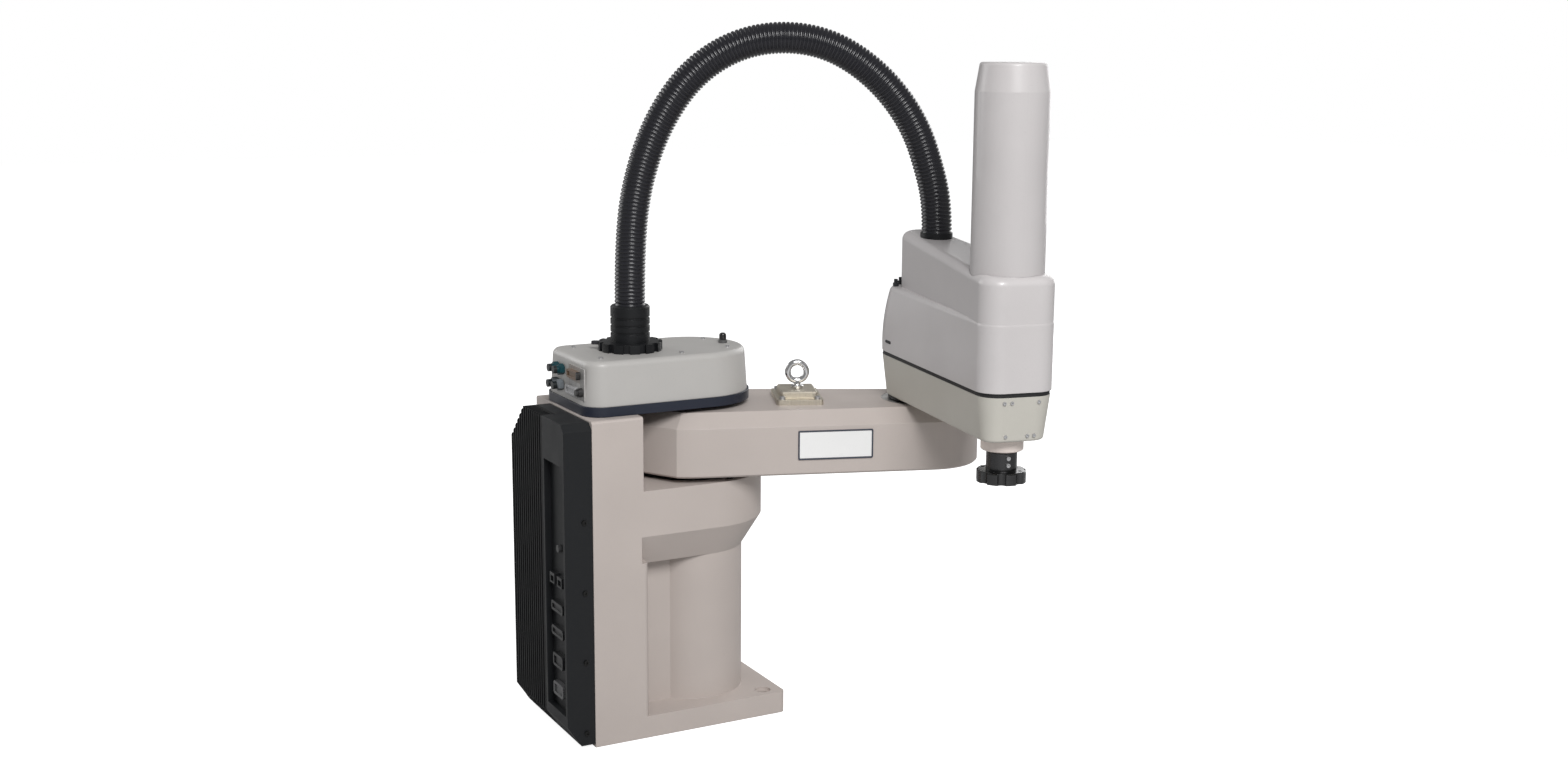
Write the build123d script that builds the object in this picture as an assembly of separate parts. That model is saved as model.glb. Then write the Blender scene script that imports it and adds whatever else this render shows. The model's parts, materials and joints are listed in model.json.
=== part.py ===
from build123d import *
import math
import os

# Four-axis bench robot that carries wafers: a cast base with its amplifier chassis, an inner
# link, an outer link and a ball-screw quill.  Millimetres.  +Z is up, +X points out of the
# front of the base, and the origin is where the first joint's axis meets the mounting face.

# ---- driving dimensions -------------------------------------------------------------------
# arm geometry and the stored pose
INNER_LENGTH = 325.0          # joint 1 to joint 2
OUTER_LENGTH = 275.0          # joint 2 to the quill
INNER_ANGLE = -22.15          # stored angle of the inner link from +X, degrees
OUTER_ANGLE = -101.0          # stored angle of the outer link from +X, degrees
QUILL_STROKE = 210.0

# base casting
BASE_HALF_WIDTH = 100.0
BASE_REAR_X = -185.0
PLATE_FRONT_X = 101.0
PLATE_THICKNESS = 30.0
HOUSING_FRONT_X = -106.0
TOWER_FRONT_X = -113.0
TOWER_TOP_Z = 442.0
SHOULDER_TOP_Z = 342.0
SHOULDER_RADIUS = 100.0
COLUMN_RADIUS = 73.0
FLARE_TOP_Z = 280.0
FLARE_BOTTOM_Z = 236.0
WEB_HALF_WIDTH = 50.0
CAVITY_FRONT_X = -121.0
CAVITY_HALF_WIDTH = 89.0
CAVITY_BOTTOM_Z = 20.0
CAVITY_TOP_Z = 424.0
BOLT_CENTRE_X = -42.0
BOLT_SPACING_X = 234.0
BOLT_SPACING_Y = 160.0
BOLT_HOLE_RADIUS = 7.0

BOLT_SEAT_RADIUS = 11.0
BOLT_SEAT_DEPTH = 4.0
MOTOR_WELL = (58.0, 40.0, 270.0)   # radius, bottom and top
SHAFT_WELL = (34.0, 269.0, 290.0)
REDUCER_SEAT_RADIUS = 80.0
REDUCER_SEAT_Z = 288.0
CABLE_HOLE_RADIUS = 14.0
CABLE_HOLE_Z = 240.0

# first joint's drive
J1_MOTOR_SIZE = 66.0
J1_MOTOR_BELL = (38.0, 190.0, 262.0)
J1_MOTOR_SHAFT = (8.0, 262.0, 312.0)
J1_REDUCER_BORE = 42.0
J1_HUB_RADIUS = 70.0
J1_SPIGOT_RADIUS = 40.0            # centres the inner link on the reducer's output
J1_HUB_BOTTOM_Z = 343.2
J1_SPIGOT_TOP_Z = 379.0

# amplifier chassis on the back of the base
CHASSIS_REAR_X = -224.0
CHASSIS_FACE_X = -204.0
CHASSIS_HALF_WIDTH = 99.0
CHASSIS_TOP_Z = 440.0
CHASSIS_CORNER_Z = 388.0
CHASSIS_FLAT_HALF = 48.0
CHASSIS_NEAR_BEVEL = 9.0
CHASSIS_BOTTOM_Z = 34.0
CHASSIS_FOOT_Z = 5.0
SINK_EDGE_Y = -22.0
FIN_PITCH = 8.0
FIN_GAP = 4.6
FIN_DEPTH = 15.0
PANEL_X = -213.0
PANEL_CENTRE_Y = -61.0
PANEL_THICKNESS = 2.0
BUTTON_Z = 268.0
BUTTON_RADIUS = 5.0

# cover over joint 1
COVER_PLATE_BOTTOM_Z = 442.3
COVER_BOTTOM_Z = 455.0
COVER_TOP_Z = 514.0
COVER_HALF_WIDTH = 80.0
COVER_REAR_X = -180.0
COVER_CORNER_RADIUS = 28.0
COVER_DRAFT = 4.0
COVER_WALL = 3.0
CONDUIT_X = -87.0
CONDUIT_RADIUS = 20.6
GLAND_RADIUS = 26.5
GLAND_TOP_Z = 575.0

# stops of the first joint
JOINT_1_LIMIT = 97.0          # either way from straight ahead, degrees
STOP_RADIUS = 88.0
STOP_PIN_RADIUS = 4.5
STOP_CLEARANCE = 0.6          # degrees

# inner link
LINK_BOTTOM_Z = 350.0
LINK_TOP_Z = 436.0
LINK_INNER_RADIUS = 103.0
LINK_OUTER_RADIUS = 80.0
LINK_FACET_NEAR = (-18.0, 103.7)   # the facets that cut the link's rear corners start here
LINK_FACET_FAR = (-96.0, 42.9)     # and end here
LINK_EDGE_BEVEL = 19.0
PLATE_LENGTH = 103.0
PLATE_HEIGHT = 40.0
PLATE_ALONG = 186.0
PLATE_CENTRE_Z = 391.0
POCKET_START = 60.0
POCKET_END = 270.0
POCKET_HALF_WIDTH = 74.0
POCKET_DEPTH = 68.0
JOINT_1_BOSS_RADIUS = 82.0
JOINT_2_BOSS_RADIUS = 66.0
SHEET_THICKNESS = 2.0
J2_REDUCER_RADIUS = 55.9
J2_REDUCER_BORE = 34.0
J2_REDUCER_Z = 380.0
J2_HUB_RADIUS = 46.0
J2_SPIGOT_RADIUS = 30.0            # centres the outer link on the reducer's output
LIFT_ALONG = 150.0
LIFT_TOP_Z = 452.0
EYE_CENTRE_Z = 475.0
EYE_RING_RADIUS = 12.8
EYE_WIRE_RADIUS = 4.3

# outer link
TUB_BOTTOM_Z = 441.0
TUB_TOP_Z = 498.5
TUB_JOINT_RADIUS = 55.0
TUB_NOSE = (48.5, 52.5, 26.5)      # half width, reach past the quill and corner radius
TUB_DRAFT = 7.0
TUB_FLOOR = 6.0
TUB_HOLLOW_INSET = 10.5
SHELL_BOTTOM_Z = 504.0
SHELL_JOINT_RADIUS = 55.5
SHELL_NOSE = (50.0, 54.0, 28.0)
SHELL_WAIST_Z = 548.0
SHELL_WAIST_RADIUS = 54.0
LEDGE_Z = 592.0
LEDGE_JOINT_RADIUS = 45.0
CREST_JOINT_RADIUS = 30.5
CREST_NOSE = (49.5, 53.5, 27.5)
CREST_TOP_Z = 668.0
CREST_SLOPE = 4.0             # the crest falls towards the quill, degrees
LEDGE_ROUND = 6.0
CREST_ROUND = 11.0
SHELL_WALL = 3.0
GLAND_ALONG = 43.0
ARM_GLAND_TOP_Z = 672.0

# quill and its cover
QUILL_COVER_RADIUS = 46.0
QUILL_COVER_TOP_RADIUS = 40.5
QUILL_COVER_SHOULDER_Z = 866.0
QUILL_COVER_TOP_Z = 901.0
QUILL_COVER_FOOT_Z = 632.0
SHAFT_RADIUS = 10.0
SHAFT_BORE_RADIUS = 7.0
SHAFT_TOP_Z = 888.0
FLANGE_FACE_Z = 382.0
FLANGE_THICKNESS = 15.0
FLANGE_RADIUS = 31.5
FLANGE_PCD = 50.0
FLANGE_HOLE_RADIUS = 2.5
SCALLOP_COUNT = 8
SCALLOP_RADIUS = 6.5
SCALLOP_CENTRE = 34.5
HUB_RADIUS = 19.5
HUB_TOP_Z = 421.0

# drive train inside the outer link
J4_MOTOR_ALONG = 113.0
J3_MOTOR_ALONG = 182.0
J4_BELT_Z = 470.0
J3_BELT_Z = 520.0
BELT_WIDTH = 12.0
BELT_PITCH = 7.33
TOOTH_DEPTH = 1.3
TOOTH_GAP = 3.2
MOTOR_PULLEY_TEETH = 12
J3_PULLEY_TEETH = 26
J4_PULLEY_TEETH = 30
DRIVE_PLATE_Z = 498.52
J3_MOTOR_Z = 543.02
J4_MOTOR_Z = 504.54
SHAFT_END_GAP = 0.3
DRIVE_PLATE_THICKNESS = 6.0
DRIVE_PLATE_START = 46.0
NUT_RADIUS = 18.0

# fasteners
SCREW_SIDES = 10              # a small screw's round head is drawn with this many sides

# fits
RUNNING_GAP = 0.05            # radial gap between a shaft and its bearing
SEAT_GAP = 0.02               # radial gap between pieces that stay together
BODY_GAP = 0.4                # gap between pieces that move past each other

# the conduit's route in the upright plane between its two glands: distance from the base
# gland, then height
CONDUIT_ROUTE = [
    (0.0, 575.0), (0.0, 650.0), (10.0, 738.0), (40.0, 822.0), (90.0, 890.0), (163.0, 928.5),
    (250.0, 928.5), (323.0, 889.0), (380.0, 822.0), (407.5, 742.0), (414.1, 697.0),
    (414.1, 672.0),
]


# ---- helpers ------------------------------------------------------------------------------
JOINT_2_X = INNER_LENGTH * math.cos(math.radians(INNER_ANGLE))
JOINT_2_Y = INNER_LENGTH * math.sin(math.radians(INNER_ANGLE))
INNER_FRAME = Rot(0, 0, INNER_ANGLE)
OUTER_FRAME = Pos(JOINT_2_X, JOINT_2_Y, 0) * Rot(0, 0, OUTER_ANGLE)
MOTOR_PULLEY_RADIUS = MOTOR_PULLEY_TEETH * BELT_PITCH / (2 * math.pi)
J3_PULLEY_RADIUS = J3_PULLEY_TEETH * BELT_PITCH / (2 * math.pi)
J4_PULLEY_RADIUS = J4_PULLEY_TEETH * BELT_PITCH / (2 * math.pi)
UPRIGHT = (Align.CENTER, Align.CENTER, Align.MIN)


def box_between(low, high):
    """A box from its lowest to its highest corner."""
    size = [high[axis] - low[axis] for axis in range(3)]
    return Pos(*low) * Box(*size, align=(Align.MIN, Align.MIN, Align.MIN))


def rod(radius, bottom, top, x=0.0, y=0.0):
    """An upright cylinder between two heights."""
    return Pos(x, y, bottom) * Cylinder(radius, top - bottom, align=UPRIGHT)


def tube(outer, inner, bottom, top, x=0.0, y=0.0):
    """An upright tube between two heights."""
    return rod(outer, bottom, top, x, y) - rod(inner, bottom - 1, top + 1, x, y)


def link_outline(joint_radius, tip_radius, length):
    """Two round ends joined by their outer tangents, with the joint end at the origin."""
    lean = (joint_radius - tip_radius) / length
    square = math.sqrt(1 - lean * lean)
    near_joint = (joint_radius * lean, -joint_radius * square)
    near_tip = (length + tip_radius * lean, -tip_radius * square)
    far_tip = (length + tip_radius * lean, tip_radius * square)
    far_joint = (joint_radius * lean, joint_radius * square)
    edges = Line(near_joint, near_tip)
    edges += ThreePointArc(near_tip, (length + tip_radius, 0), far_tip)
    edges += Line(far_tip, far_joint)
    edges += ThreePointArc(far_joint, (-joint_radius, 0), near_joint)
    return make_face(edges)


def arm_outline(joint_radius, nose, inset=0.0):
    """The outer link seen from above: round about its joint, square-nosed past the quill."""
    half_width, reach, corner = [size - inset for size in nose]
    radius = joint_radius - inset
    along = OUTER_LENGTH + reach - corner
    out = half_width - corner
    lean = math.atan2(out, along) + math.acos((radius - corner) / math.hypot(along, out))
    points = {}
    for side in (-1, 1):
        points[side] = [
            (radius * math.cos(lean), side * radius * math.sin(lean)),
            (along + corner * math.cos(lean), side * (out + corner * math.sin(lean))),
            (along + corner * math.cos(lean / 2), side * (out + corner * math.sin(lean / 2))),
            (along + corner, side * out),
        ]
    edges = Line(points[-1][3], points[1][3])
    for joint_end, corner_start, corner_middle, corner_end in points.values():
        edges += ThreePointArc(corner_start, corner_middle, corner_end)
        edges += Line(joint_end, corner_start)
    edges += ThreePointArc(points[1][0], (-radius, 0), points[-1][0])
    return make_face(edges)


def arm_prism(joint_radius, nose, inset, bottom, top):
    return Pos(0, 0, bottom) * extrude(arm_outline(joint_radius, nose, inset), top - bottom)


def link_prism(joint_radius, tip_radius, length, bottom, top):
    outline = link_outline(joint_radius, tip_radius, length)
    return Pos(0, 0, bottom) * extrude(outline, top - bottom)


def top_edges(solid):
    return solid.edges().group_by(Axis.Z)[-1]


def bottom_edges(solid):
    return solid.edges().group_by(Axis.Z)[0]


def cap_screw(head_radius, head_height):
    """A cap screw's head, with its underside at the origin."""
    return extrude(RegularPolygon(head_radius, SCREW_SIDES), head_height)


def ring_of(solid, count, radius, start=0.0):
    """Copies of a solid on a circle."""
    copies = []
    for index in range(count):
        angle = start + index * 360.0 / count
        copies.append(Rot(0, 0, angle) * Pos(radius, 0, 0) * solid)
    return copies


def group(solids):
    return Compound(children=list(solids))


# ---- base ---------------------------------------------------------------------------------
def base_plan():
    """The base below its shoulder: rear housing, web and column seen from above."""
    housing = Pos((BASE_REAR_X + HOUSING_FRONT_X) / 2, 0) * Rectangle(
        HOUSING_FRONT_X - BASE_REAR_X, 2 * BASE_HALF_WIDTH)
    web = Pos(HOUSING_FRONT_X / 2, 0) * Rectangle(-HOUSING_FRONT_X + 4, 2 * WEB_HALF_WIDTH)
    plan = housing + web + Circle(COLUMN_RADIUS)
    inner_corners = [v for v in plan.vertices() if abs(v.X - HOUSING_FRONT_X) < 0.1]
    roots = [v for v in inner_corners if abs(v.Y) < BASE_HALF_WIDTH - 1]
    plan = fillet(roots, 16)
    rims = [v for v in plan.vertices()
            if abs(v.X - HOUSING_FRONT_X) < 0.1 and abs(v.Y) > BASE_HALF_WIDTH - 1]
    return fillet(rims, 7)


def shoulder_plan():
    block = Pos(BASE_REAR_X / 2, 0) * Rectangle(-BASE_REAR_X, 2 * SHOULDER_RADIUS)
    return block + Circle(SHOULDER_RADIUS)


def base_casting():
    plate_plan = Pos((BASE_REAR_X + PLATE_FRONT_X) / 2, 0) * Rectangle(
        PLATE_FRONT_X - BASE_REAR_X, 2 * BASE_HALF_WIDTH)
    front = [v for v in plate_plan.vertices() if v.X > 0]
    plate_plan = fillet(front, 8)
    casting = extrude(plate_plan, PLATE_THICKNESS)
    casting += extrude(base_plan(), FLARE_BOTTOM_Z + 8)
    flare_rise = FLARE_TOP_Z - FLARE_BOTTOM_Z
    flare_angle = math.degrees(math.atan((SHOULDER_RADIUS - COLUMN_RADIUS) / flare_rise))
    flare = extrude(Pos(0, 0, FLARE_TOP_Z) * shoulder_plan(), -flare_rise, taper=flare_angle)
    flare = flare - box_between((BASE_REAR_X - 1, -200, 0), (BASE_REAR_X + 45, 200, 400))
    casting += flare
    casting += Pos(0, 0, FLARE_TOP_Z) * extrude(
        shoulder_plan(), SHOULDER_TOP_Z - FLARE_TOP_Z)
    housing_size = HOUSING_FRONT_X - BASE_REAR_X
    casting += box_between(
        (BASE_REAR_X, -BASE_HALF_WIDTH, 0),
        (BASE_REAR_X + housing_size - 10, BASE_HALF_WIDTH, SHOULDER_TOP_Z))
    tower = box_between(
        (BASE_REAR_X, -BASE_HALF_WIDTH, SHOULDER_TOP_Z - 1),
        (TOWER_FRONT_X, BASE_HALF_WIDTH, TOWER_TOP_Z))
    upper_edges = [e for e in top_edges(tower) if abs(e.center().Y) > BASE_HALF_WIDTH - 1]
    casting += fillet(upper_edges, 4)
    casting -= base_hollows()
    return casting


def base_hollows():
    """Space for the amplifier, the first motor and reducer, and the mounting bolts."""
    cavity = box_between(
        (BASE_REAR_X - 1, -CAVITY_HALF_WIDTH, CAVITY_BOTTOM_Z),
        (CAVITY_FRONT_X, CAVITY_HALF_WIDTH, CAVITY_TOP_Z))
    hollows = cavity + rod(*MOTOR_WELL) + rod(*SHAFT_WELL)
    hollows += rod(REDUCER_SEAT_RADIUS, REDUCER_SEAT_Z, SHOULDER_TOP_Z + 1)
    hollows += Pos(-96, 0, CABLE_HOLE_Z) * Rot(0, 90, 0) * Cylinder(CABLE_HOLE_RADIUS, 70)
    for side_x in (-1, 1):
        for side_y in (-1, 1):
            x = BOLT_CENTRE_X + side_x * BOLT_SPACING_X / 2
            y = side_y * BOLT_SPACING_Y / 2
            hollows += rod(BOLT_HOLE_RADIUS, -1, PLATE_THICKNESS + 1, x, y)
            seat_z = PLATE_THICKNESS - BOLT_SEAT_DEPTH
            hollows += rod(BOLT_SEAT_RADIUS, seat_z, PLATE_THICKNESS + 1, x, y)
    return hollows


def chassis_outline(margin):
    """The chassis seen from behind: one deep and one small bevel, margin in from its edge."""
    half = CHASSIS_HALF_WIDTH - margin
    flat = CHASSIS_FLAT_HALF - 0.4 * margin
    top = CHASSIS_TOP_Z - margin
    corner = CHASSIS_CORNER_Z - 0.4 * margin
    foot = CHASSIS_FOOT_Z + margin
    corners = [(-half, foot), (half, foot), (half, corner), (flat, top),
               (CHASSIS_NEAR_BEVEL - half, top), (-half, top - CHASSIS_NEAR_BEVEL)]
    return Plane.YZ * make_face(Polyline(*corners, close=True))


def sloped_foot():
    """What the sloped lower rear edge takes off the chassis and its heat sink."""
    profile = [(CHASSIS_REAR_X - 1, CHASSIS_FOOT_Z - 1), (CHASSIS_FACE_X, CHASSIS_FOOT_Z - 1),
               (CHASSIS_REAR_X - 1, CHASSIS_BOTTOM_Z + 1.5)]
    wedge = Plane.XZ * make_face(Polyline(*profile, close=True))
    return extrude(wedge, 120, both=True)


def amplifier_chassis():
    depth = BASE_REAR_X - CHASSIS_REAR_X
    body = Pos(CHASSIS_REAR_X, 0, 0) * extrude(chassis_outline(0), depth - 0.02)
    body += box_between(
        (BASE_REAR_X - 5, -CAVITY_HALF_WIDTH + 2, CAVITY_BOTTOM_Z + 2),
        (CAVITY_FRONT_X - 8, CAVITY_HALF_WIDTH - 2, CAVITY_TOP_Z - 4))
    body -= sloped_foot()
    body -= box_between(
        (CHASSIS_REAR_X - 1, SINK_EDGE_Y, -1),
        (CHASSIS_FACE_X, CHASSIS_HALF_WIDTH + 1, CHASSIS_TOP_Z + 1))
    body -= box_between(
        (BASE_REAR_X - 10, -CAVITY_HALF_WIDTH + 5, CAVITY_BOTTOM_Z + 5),
        (CAVITY_FRONT_X - 11, CAVITY_HALF_WIDTH - 5, CAVITY_TOP_Z - 7))
    body -= box_between(
        (CHASSIS_REAR_X - 1, -CHASSIS_HALF_WIDTH + 6, 47), (PANEL_X, SINK_EDGE_Y - 6, 384))
    body -= Pos(PANEL_X, PANEL_CENTRE_Y, BUTTON_Z) * Rot(0, 90, 0) * Cylinder(8, 16)
    return body


def heat_sink():
    depth = CHASSIS_FACE_X - CHASSIS_REAR_X
    sink = Pos(CHASSIS_REAR_X, 0, 0) * extrude(chassis_outline(0), depth - 0.3)
    sink -= sloped_foot()
    sink -= box_between(
        (CHASSIS_REAR_X - 1, -CHASSIS_HALF_WIDTH - 1, -1),
        (CHASSIS_FACE_X + 1, SINK_EDGE_Y + 0.4, CHASSIS_TOP_Z + 1))
    groove = box_between(
        (CHASSIS_REAR_X - 1, -FIN_GAP / 2, -1),
        (CHASSIS_REAR_X + FIN_DEPTH, FIN_GAP / 2, CHASSIS_TOP_Z + 1))
    first = SINK_EDGE_Y + FIN_PITCH
    count = int((CHASSIS_HALF_WIDTH - first) // FIN_PITCH) + 1
    for index in range(count):
        sink -= Pos(0, first + index * FIN_PITCH, 0) * groove
    return sink


def connector_panel():
    panel = box_between(
        (PANEL_X - PANEL_THICKNESS - 0.02, -CHASSIS_HALF_WIDTH + 6.3, 47.3),
        (PANEL_X - 0.02, SINK_EDGE_Y - 6.3, 383.7))
    window = Pos(PANEL_X, PANEL_CENTRE_Y, BUTTON_Z) * Rot(0, 90, 0) * Cylinder(
        BUTTON_RADIUS + 0.3, 20)
    return panel - window


def panel_connectors():
    """Power, signal and network connectors, from the bottom of the panel upwards."""
    face = PANEL_X - PANEL_THICKNESS - 0.04
    connectors = []
    for height, width, tall in ((74, 34, 18), (114, 34, 18), (154, 40, 13), (188, 40, 13)):
        body = Pos(face - 3.5, PANEL_CENTRE_Y, height) * Box(7, width, tall)
        body = chamfer(body.edges().filter_by(Axis.X), 2.5)
        body -= Pos(face - 6.5, PANEL_CENTRE_Y, height) * Box(3, width - 7, tall - 7)
        connectors.append(body)
    for offset in (-13, 13):
        jack = Pos(face - 4, PANEL_CENTRE_Y + offset, 226) * Box(8, 16, 14)
        jack -= Pos(face - 8, PANEL_CENTRE_Y + offset, 225) * Box(6, 11, 8)
        connectors.append(jack)
    return group(connectors)


def brake_release_button():
    button = Pos(PANEL_X - 2.5, PANEL_CENTRE_Y, BUTTON_Z) * Rot(0, 90, 0) * Cylinder(
        BUTTON_RADIUS, 9)
    crown = button.edges().sort_by(Axis.X)[0]
    return chamfer(crown, 0.8)


def amplifier_boards():
    boards = []
    for index, y in enumerate((-52, -8, 36)):
        boards.append(box_between((-180, y, 60 + 10 * index), (-140, y + 1.6, 330)))
        boards.append(box_between((-172, y + 1.62, 120), (-150, y + 14, 210)))
    return group(boards)


def chassis_screws():
    screws = []
    for height in (22, 120, 215, 310):
        for side in (-1, 1):
            place = Pos(-197, side * (CHASSIS_HALF_WIDTH + 0.02), height)
            turn = Rot(side * -90, 0, 0)
            screws.append(place * turn * cap_screw(3.4, 2.4))
    return group(screws)


# ---- cover over the first joint -----------------------------------------------------------
def cover_outline(half_width, rear_x, corner):
    block = Pos(rear_x / 2, 0) * Rectangle(-rear_x, 2 * half_width)
    outline = block + Circle(half_width)
    rear = [v for v in outline.vertices() if abs(v.X - rear_x) < 0.1]
    return fillet(rear, corner)


def cover_plate():
    outline = cover_outline(COVER_HALF_WIDTH + 2.5, COVER_REAR_X - 2, COVER_CORNER_RADIUS)
    plate = Pos(0, 0, COVER_PLATE_BOTTOM_Z) * extrude(
        outline, COVER_BOTTOM_Z - COVER_PLATE_BOTTOM_Z - 0.02)
    return plate - box_between((-150, -45, 430), (-60, 45, COVER_BOTTOM_Z + 1))


def top_cover():
    outer = Pos(0, 0, COVER_BOTTOM_Z) * extrude(
        cover_outline(COVER_HALF_WIDTH, COVER_REAR_X, COVER_CORNER_RADIUS),
        COVER_TOP_Z - COVER_BOTTOM_Z, taper=COVER_DRAFT)
    outer = fillet(top_edges(outer), 8)
    inner = Pos(0, 0, COVER_BOTTOM_Z - 0.5) * extrude(
        cover_outline(COVER_HALF_WIDTH - COVER_WALL, COVER_REAR_X + COVER_WALL,
                      COVER_CORNER_RADIUS - COVER_WALL),
        COVER_TOP_Z - COVER_BOTTOM_Z - COVER_WALL, taper=COVER_DRAFT)
    cover = outer - inner
    cover -= rod(CONDUIT_RADIUS + 3, COVER_TOP_Z - 10, COVER_TOP_Z + 1, CONDUIT_X)
    cover -= box_between((COVER_REAR_X - 5, -62, 461), (COVER_REAR_X + 2.6, -8, 504))
    return cover


def conduit_gland():
    """The base gland: a ribbed sleeve that the conduit screws into."""
    sleeve = rod(GLAND_RADIUS, COVER_TOP_Z + 0.02, GLAND_TOP_Z, CONDUIT_X)
    sleeve = chamfer(top_edges(sleeve), 2)
    sleeve -= rod(17, COVER_TOP_Z - 1, GLAND_TOP_Z + 1, CONDUIT_X)
    for height in (537, 547, 557):
        sleeve -= tube(GLAND_RADIUS + 2, GLAND_RADIUS - 1.5, height, height + 3, CONDUIT_X)
    neck = tube(CONDUIT_RADIUS + 2.7, 17, COVER_TOP_Z - 12, COVER_TOP_Z + 0.1, CONDUIT_X)
    return sleeve + neck


def gland_ring_nut():
    nut = tube(43, GLAND_RADIUS + 0.05, COVER_TOP_Z + 0.02, COVER_TOP_Z + 12, CONDUIT_X)
    notch = Box(10, 9, 30)
    for index in range(12):
        nut -= Pos(CONDUIT_X, 0, COVER_TOP_Z + 6) * Rot(0, 0, 30 * index) * Pos(43, 0, 0) * notch
    return nut


def cover_screws():
    screws = []
    for x, y in ((-150, -48), (-150, 48), (-36, -54), (-36, 54), (40, -38), (40, 38)):
        screws.append(Pos(x, y, COVER_TOP_Z + 0.02) * cap_screw(3.2, 1.8))
    return group(screws)


def status_lamp():
    """The lamp that shows when the arm has power."""
    lamp = rod(6.5, COVER_TOP_Z + 0.02, COVER_TOP_Z + 4, 50, -4)
    lens = rod(5, COVER_TOP_Z + 4, COVER_TOP_Z + 14, 50, -4)
    return lamp + fillet(top_edges(lens), 3.5)


def air_fittings():
    fittings = []
    for y, z in ((34, 492), (16, 492), (34, 471), (16, 471)):
        rear = COVER_REAR_X + (z - COVER_BOTTOM_Z) * math.tan(math.radians(COVER_DRAFT))
        place = Pos(rear - 0.1, y, z) * Rot(0, -90, 0)
        collar = Pos(0, 0, 0.5) * extrude(RegularPolygon(7.6, 6), 7.5)
        fittings.append(place * (collar + rod(5.2, 8, 15)))
    return group(fittings)


def user_connectors():
    """Two shell connectors and one round one, on a plate let into the cover's rear face."""
    front = COVER_REAR_X + 2.6
    plate = box_between((front - 0.02 - 2, -61.7, 461.3), (front - 0.02, -8.3, 503.7))
    rear = front - 2.04
    pieces = [plate]
    for y, z in ((-32, 493), (-26, 471)):
        shell = Pos(rear - 3, y, z) * Box(6, 36, 11)
        shell = fillet(shell.edges().filter_by(Axis.X), 3.5)
        shell -= Pos(rear - 6, y, z) * Box(3, 27, 6)
        pieces.append(shell)
    plug = Pos(rear, -53, 472) * Rot(0, -90, 0) * (rod(6, 0.02, 6) + rod(4.4, 6, 9))
    pieces.append(plug)
    return group(pieces)


# ---- first joint --------------------------------------------------------------------------
def j1_motor():
    square = RectangleRounded(J1_MOTOR_SIZE, J1_MOTOR_SIZE, 8)
    frame = Pos(0, 0, J1_MOTOR_BELL[1] - 130) * extrude(square, 130)
    return frame + rod(*J1_MOTOR_BELL) + rod(*J1_MOTOR_SHAFT)


def j1_reducer():
    ring = tube(REDUCER_SEAT_RADIUS - 0.1, J1_REDUCER_BORE, REDUCER_SEAT_Z + 1, SHOULDER_TOP_Z - 1)
    return ring - tube(60, 50, SHOULDER_TOP_Z - 12, SHOULDER_TOP_Z)


def j1_output_hub():
    flange = rod(J1_HUB_RADIUS, J1_HUB_BOTTOM_Z, LINK_BOTTOM_Z - 0.02)
    spigot = rod(J1_REDUCER_BORE - RUNNING_GAP, 300, J1_HUB_BOTTOM_Z + 0.1)
    centring = rod(J1_SPIGOT_RADIUS, LINK_BOTTOM_Z - 1, J1_SPIGOT_TOP_Z)
    return flange + spigot + centring - rod(CABLE_HOLE_RADIUS, 299, J1_SPIGOT_TOP_Z + 1)


def j1_stop_bumpers():
    """Rubber stops on the shoulder that the inner link's lug meets at each end of its turn."""
    bumpers = []
    pin_angle = math.degrees(math.asin(STOP_PIN_RADIUS / STOP_RADIUS))
    for side in (-1, 1):
        angle = side * (180 - JOINT_1_LIMIT - 2 * pin_angle - STOP_CLEARANCE)
        bumpers.append(Rot(0, 0, angle) * Pos(STOP_RADIUS, 0, SHOULDER_TOP_Z + 0.02) * rod(
            STOP_PIN_RADIUS, 0, 6.4))
    return group(bumpers)


# ---- inner link ---------------------------------------------------------------------------
def inner_link_casting():
    outline = link_outline(LINK_INNER_RADIUS, LINK_OUTER_RADIUS, INNER_LENGTH)
    for side in (-1, 1):
        near = (LINK_FACET_NEAR[0], side * LINK_FACET_NEAR[1])
        far = (LINK_FACET_FAR[0], side * LINK_FACET_FAR[1])
        outside = (far[0] - LINK_INNER_RADIUS, side * 2 * LINK_INNER_RADIUS)
        outline -= make_face(Polyline(near, far, outside, close=True))
    bevel_z = LINK_TOP_Z - LINK_EDGE_BEVEL
    link = Pos(0, 0, LINK_BOTTOM_Z) * extrude(outline, bevel_z - LINK_BOTTOM_Z)
    link = chamfer(bottom_edges(link), 2.5)
    link += Pos(0, 0, bevel_z) * extrude(outline, LINK_EDGE_BEVEL, taper=45)
    link -= rod(J1_SPIGOT_RADIUS + SEAT_GAP, LINK_BOTTOM_Z - 1, J1_SPIGOT_TOP_Z + 1)
    link -= rod(J2_REDUCER_RADIUS + 0.1, J2_REDUCER_Z, LINK_TOP_Z + 1, INNER_LENGTH)
    link -= link_underside()
    stop = rod(STOP_PIN_RADIUS, LINK_BOTTOM_Z - 6.4, LINK_BOTTOM_Z + 2, -STOP_RADIUS)
    return INNER_FRAME * (link + stop)


def underside_outline(margin):
    """The opening in the inner link's underside, between the two joints."""
    strip = Pos((POCKET_START + POCKET_END) / 2, 0) * Rectangle(
        POCKET_END - POCKET_START - 2 * margin, 2 * (POCKET_HALF_WIDTH - margin))
    strip -= Circle(JOINT_1_BOSS_RADIUS + margin)
    strip -= Pos(INNER_LENGTH, 0) * Circle(JOINT_2_BOSS_RADIUS + margin)
    return strip


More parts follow.
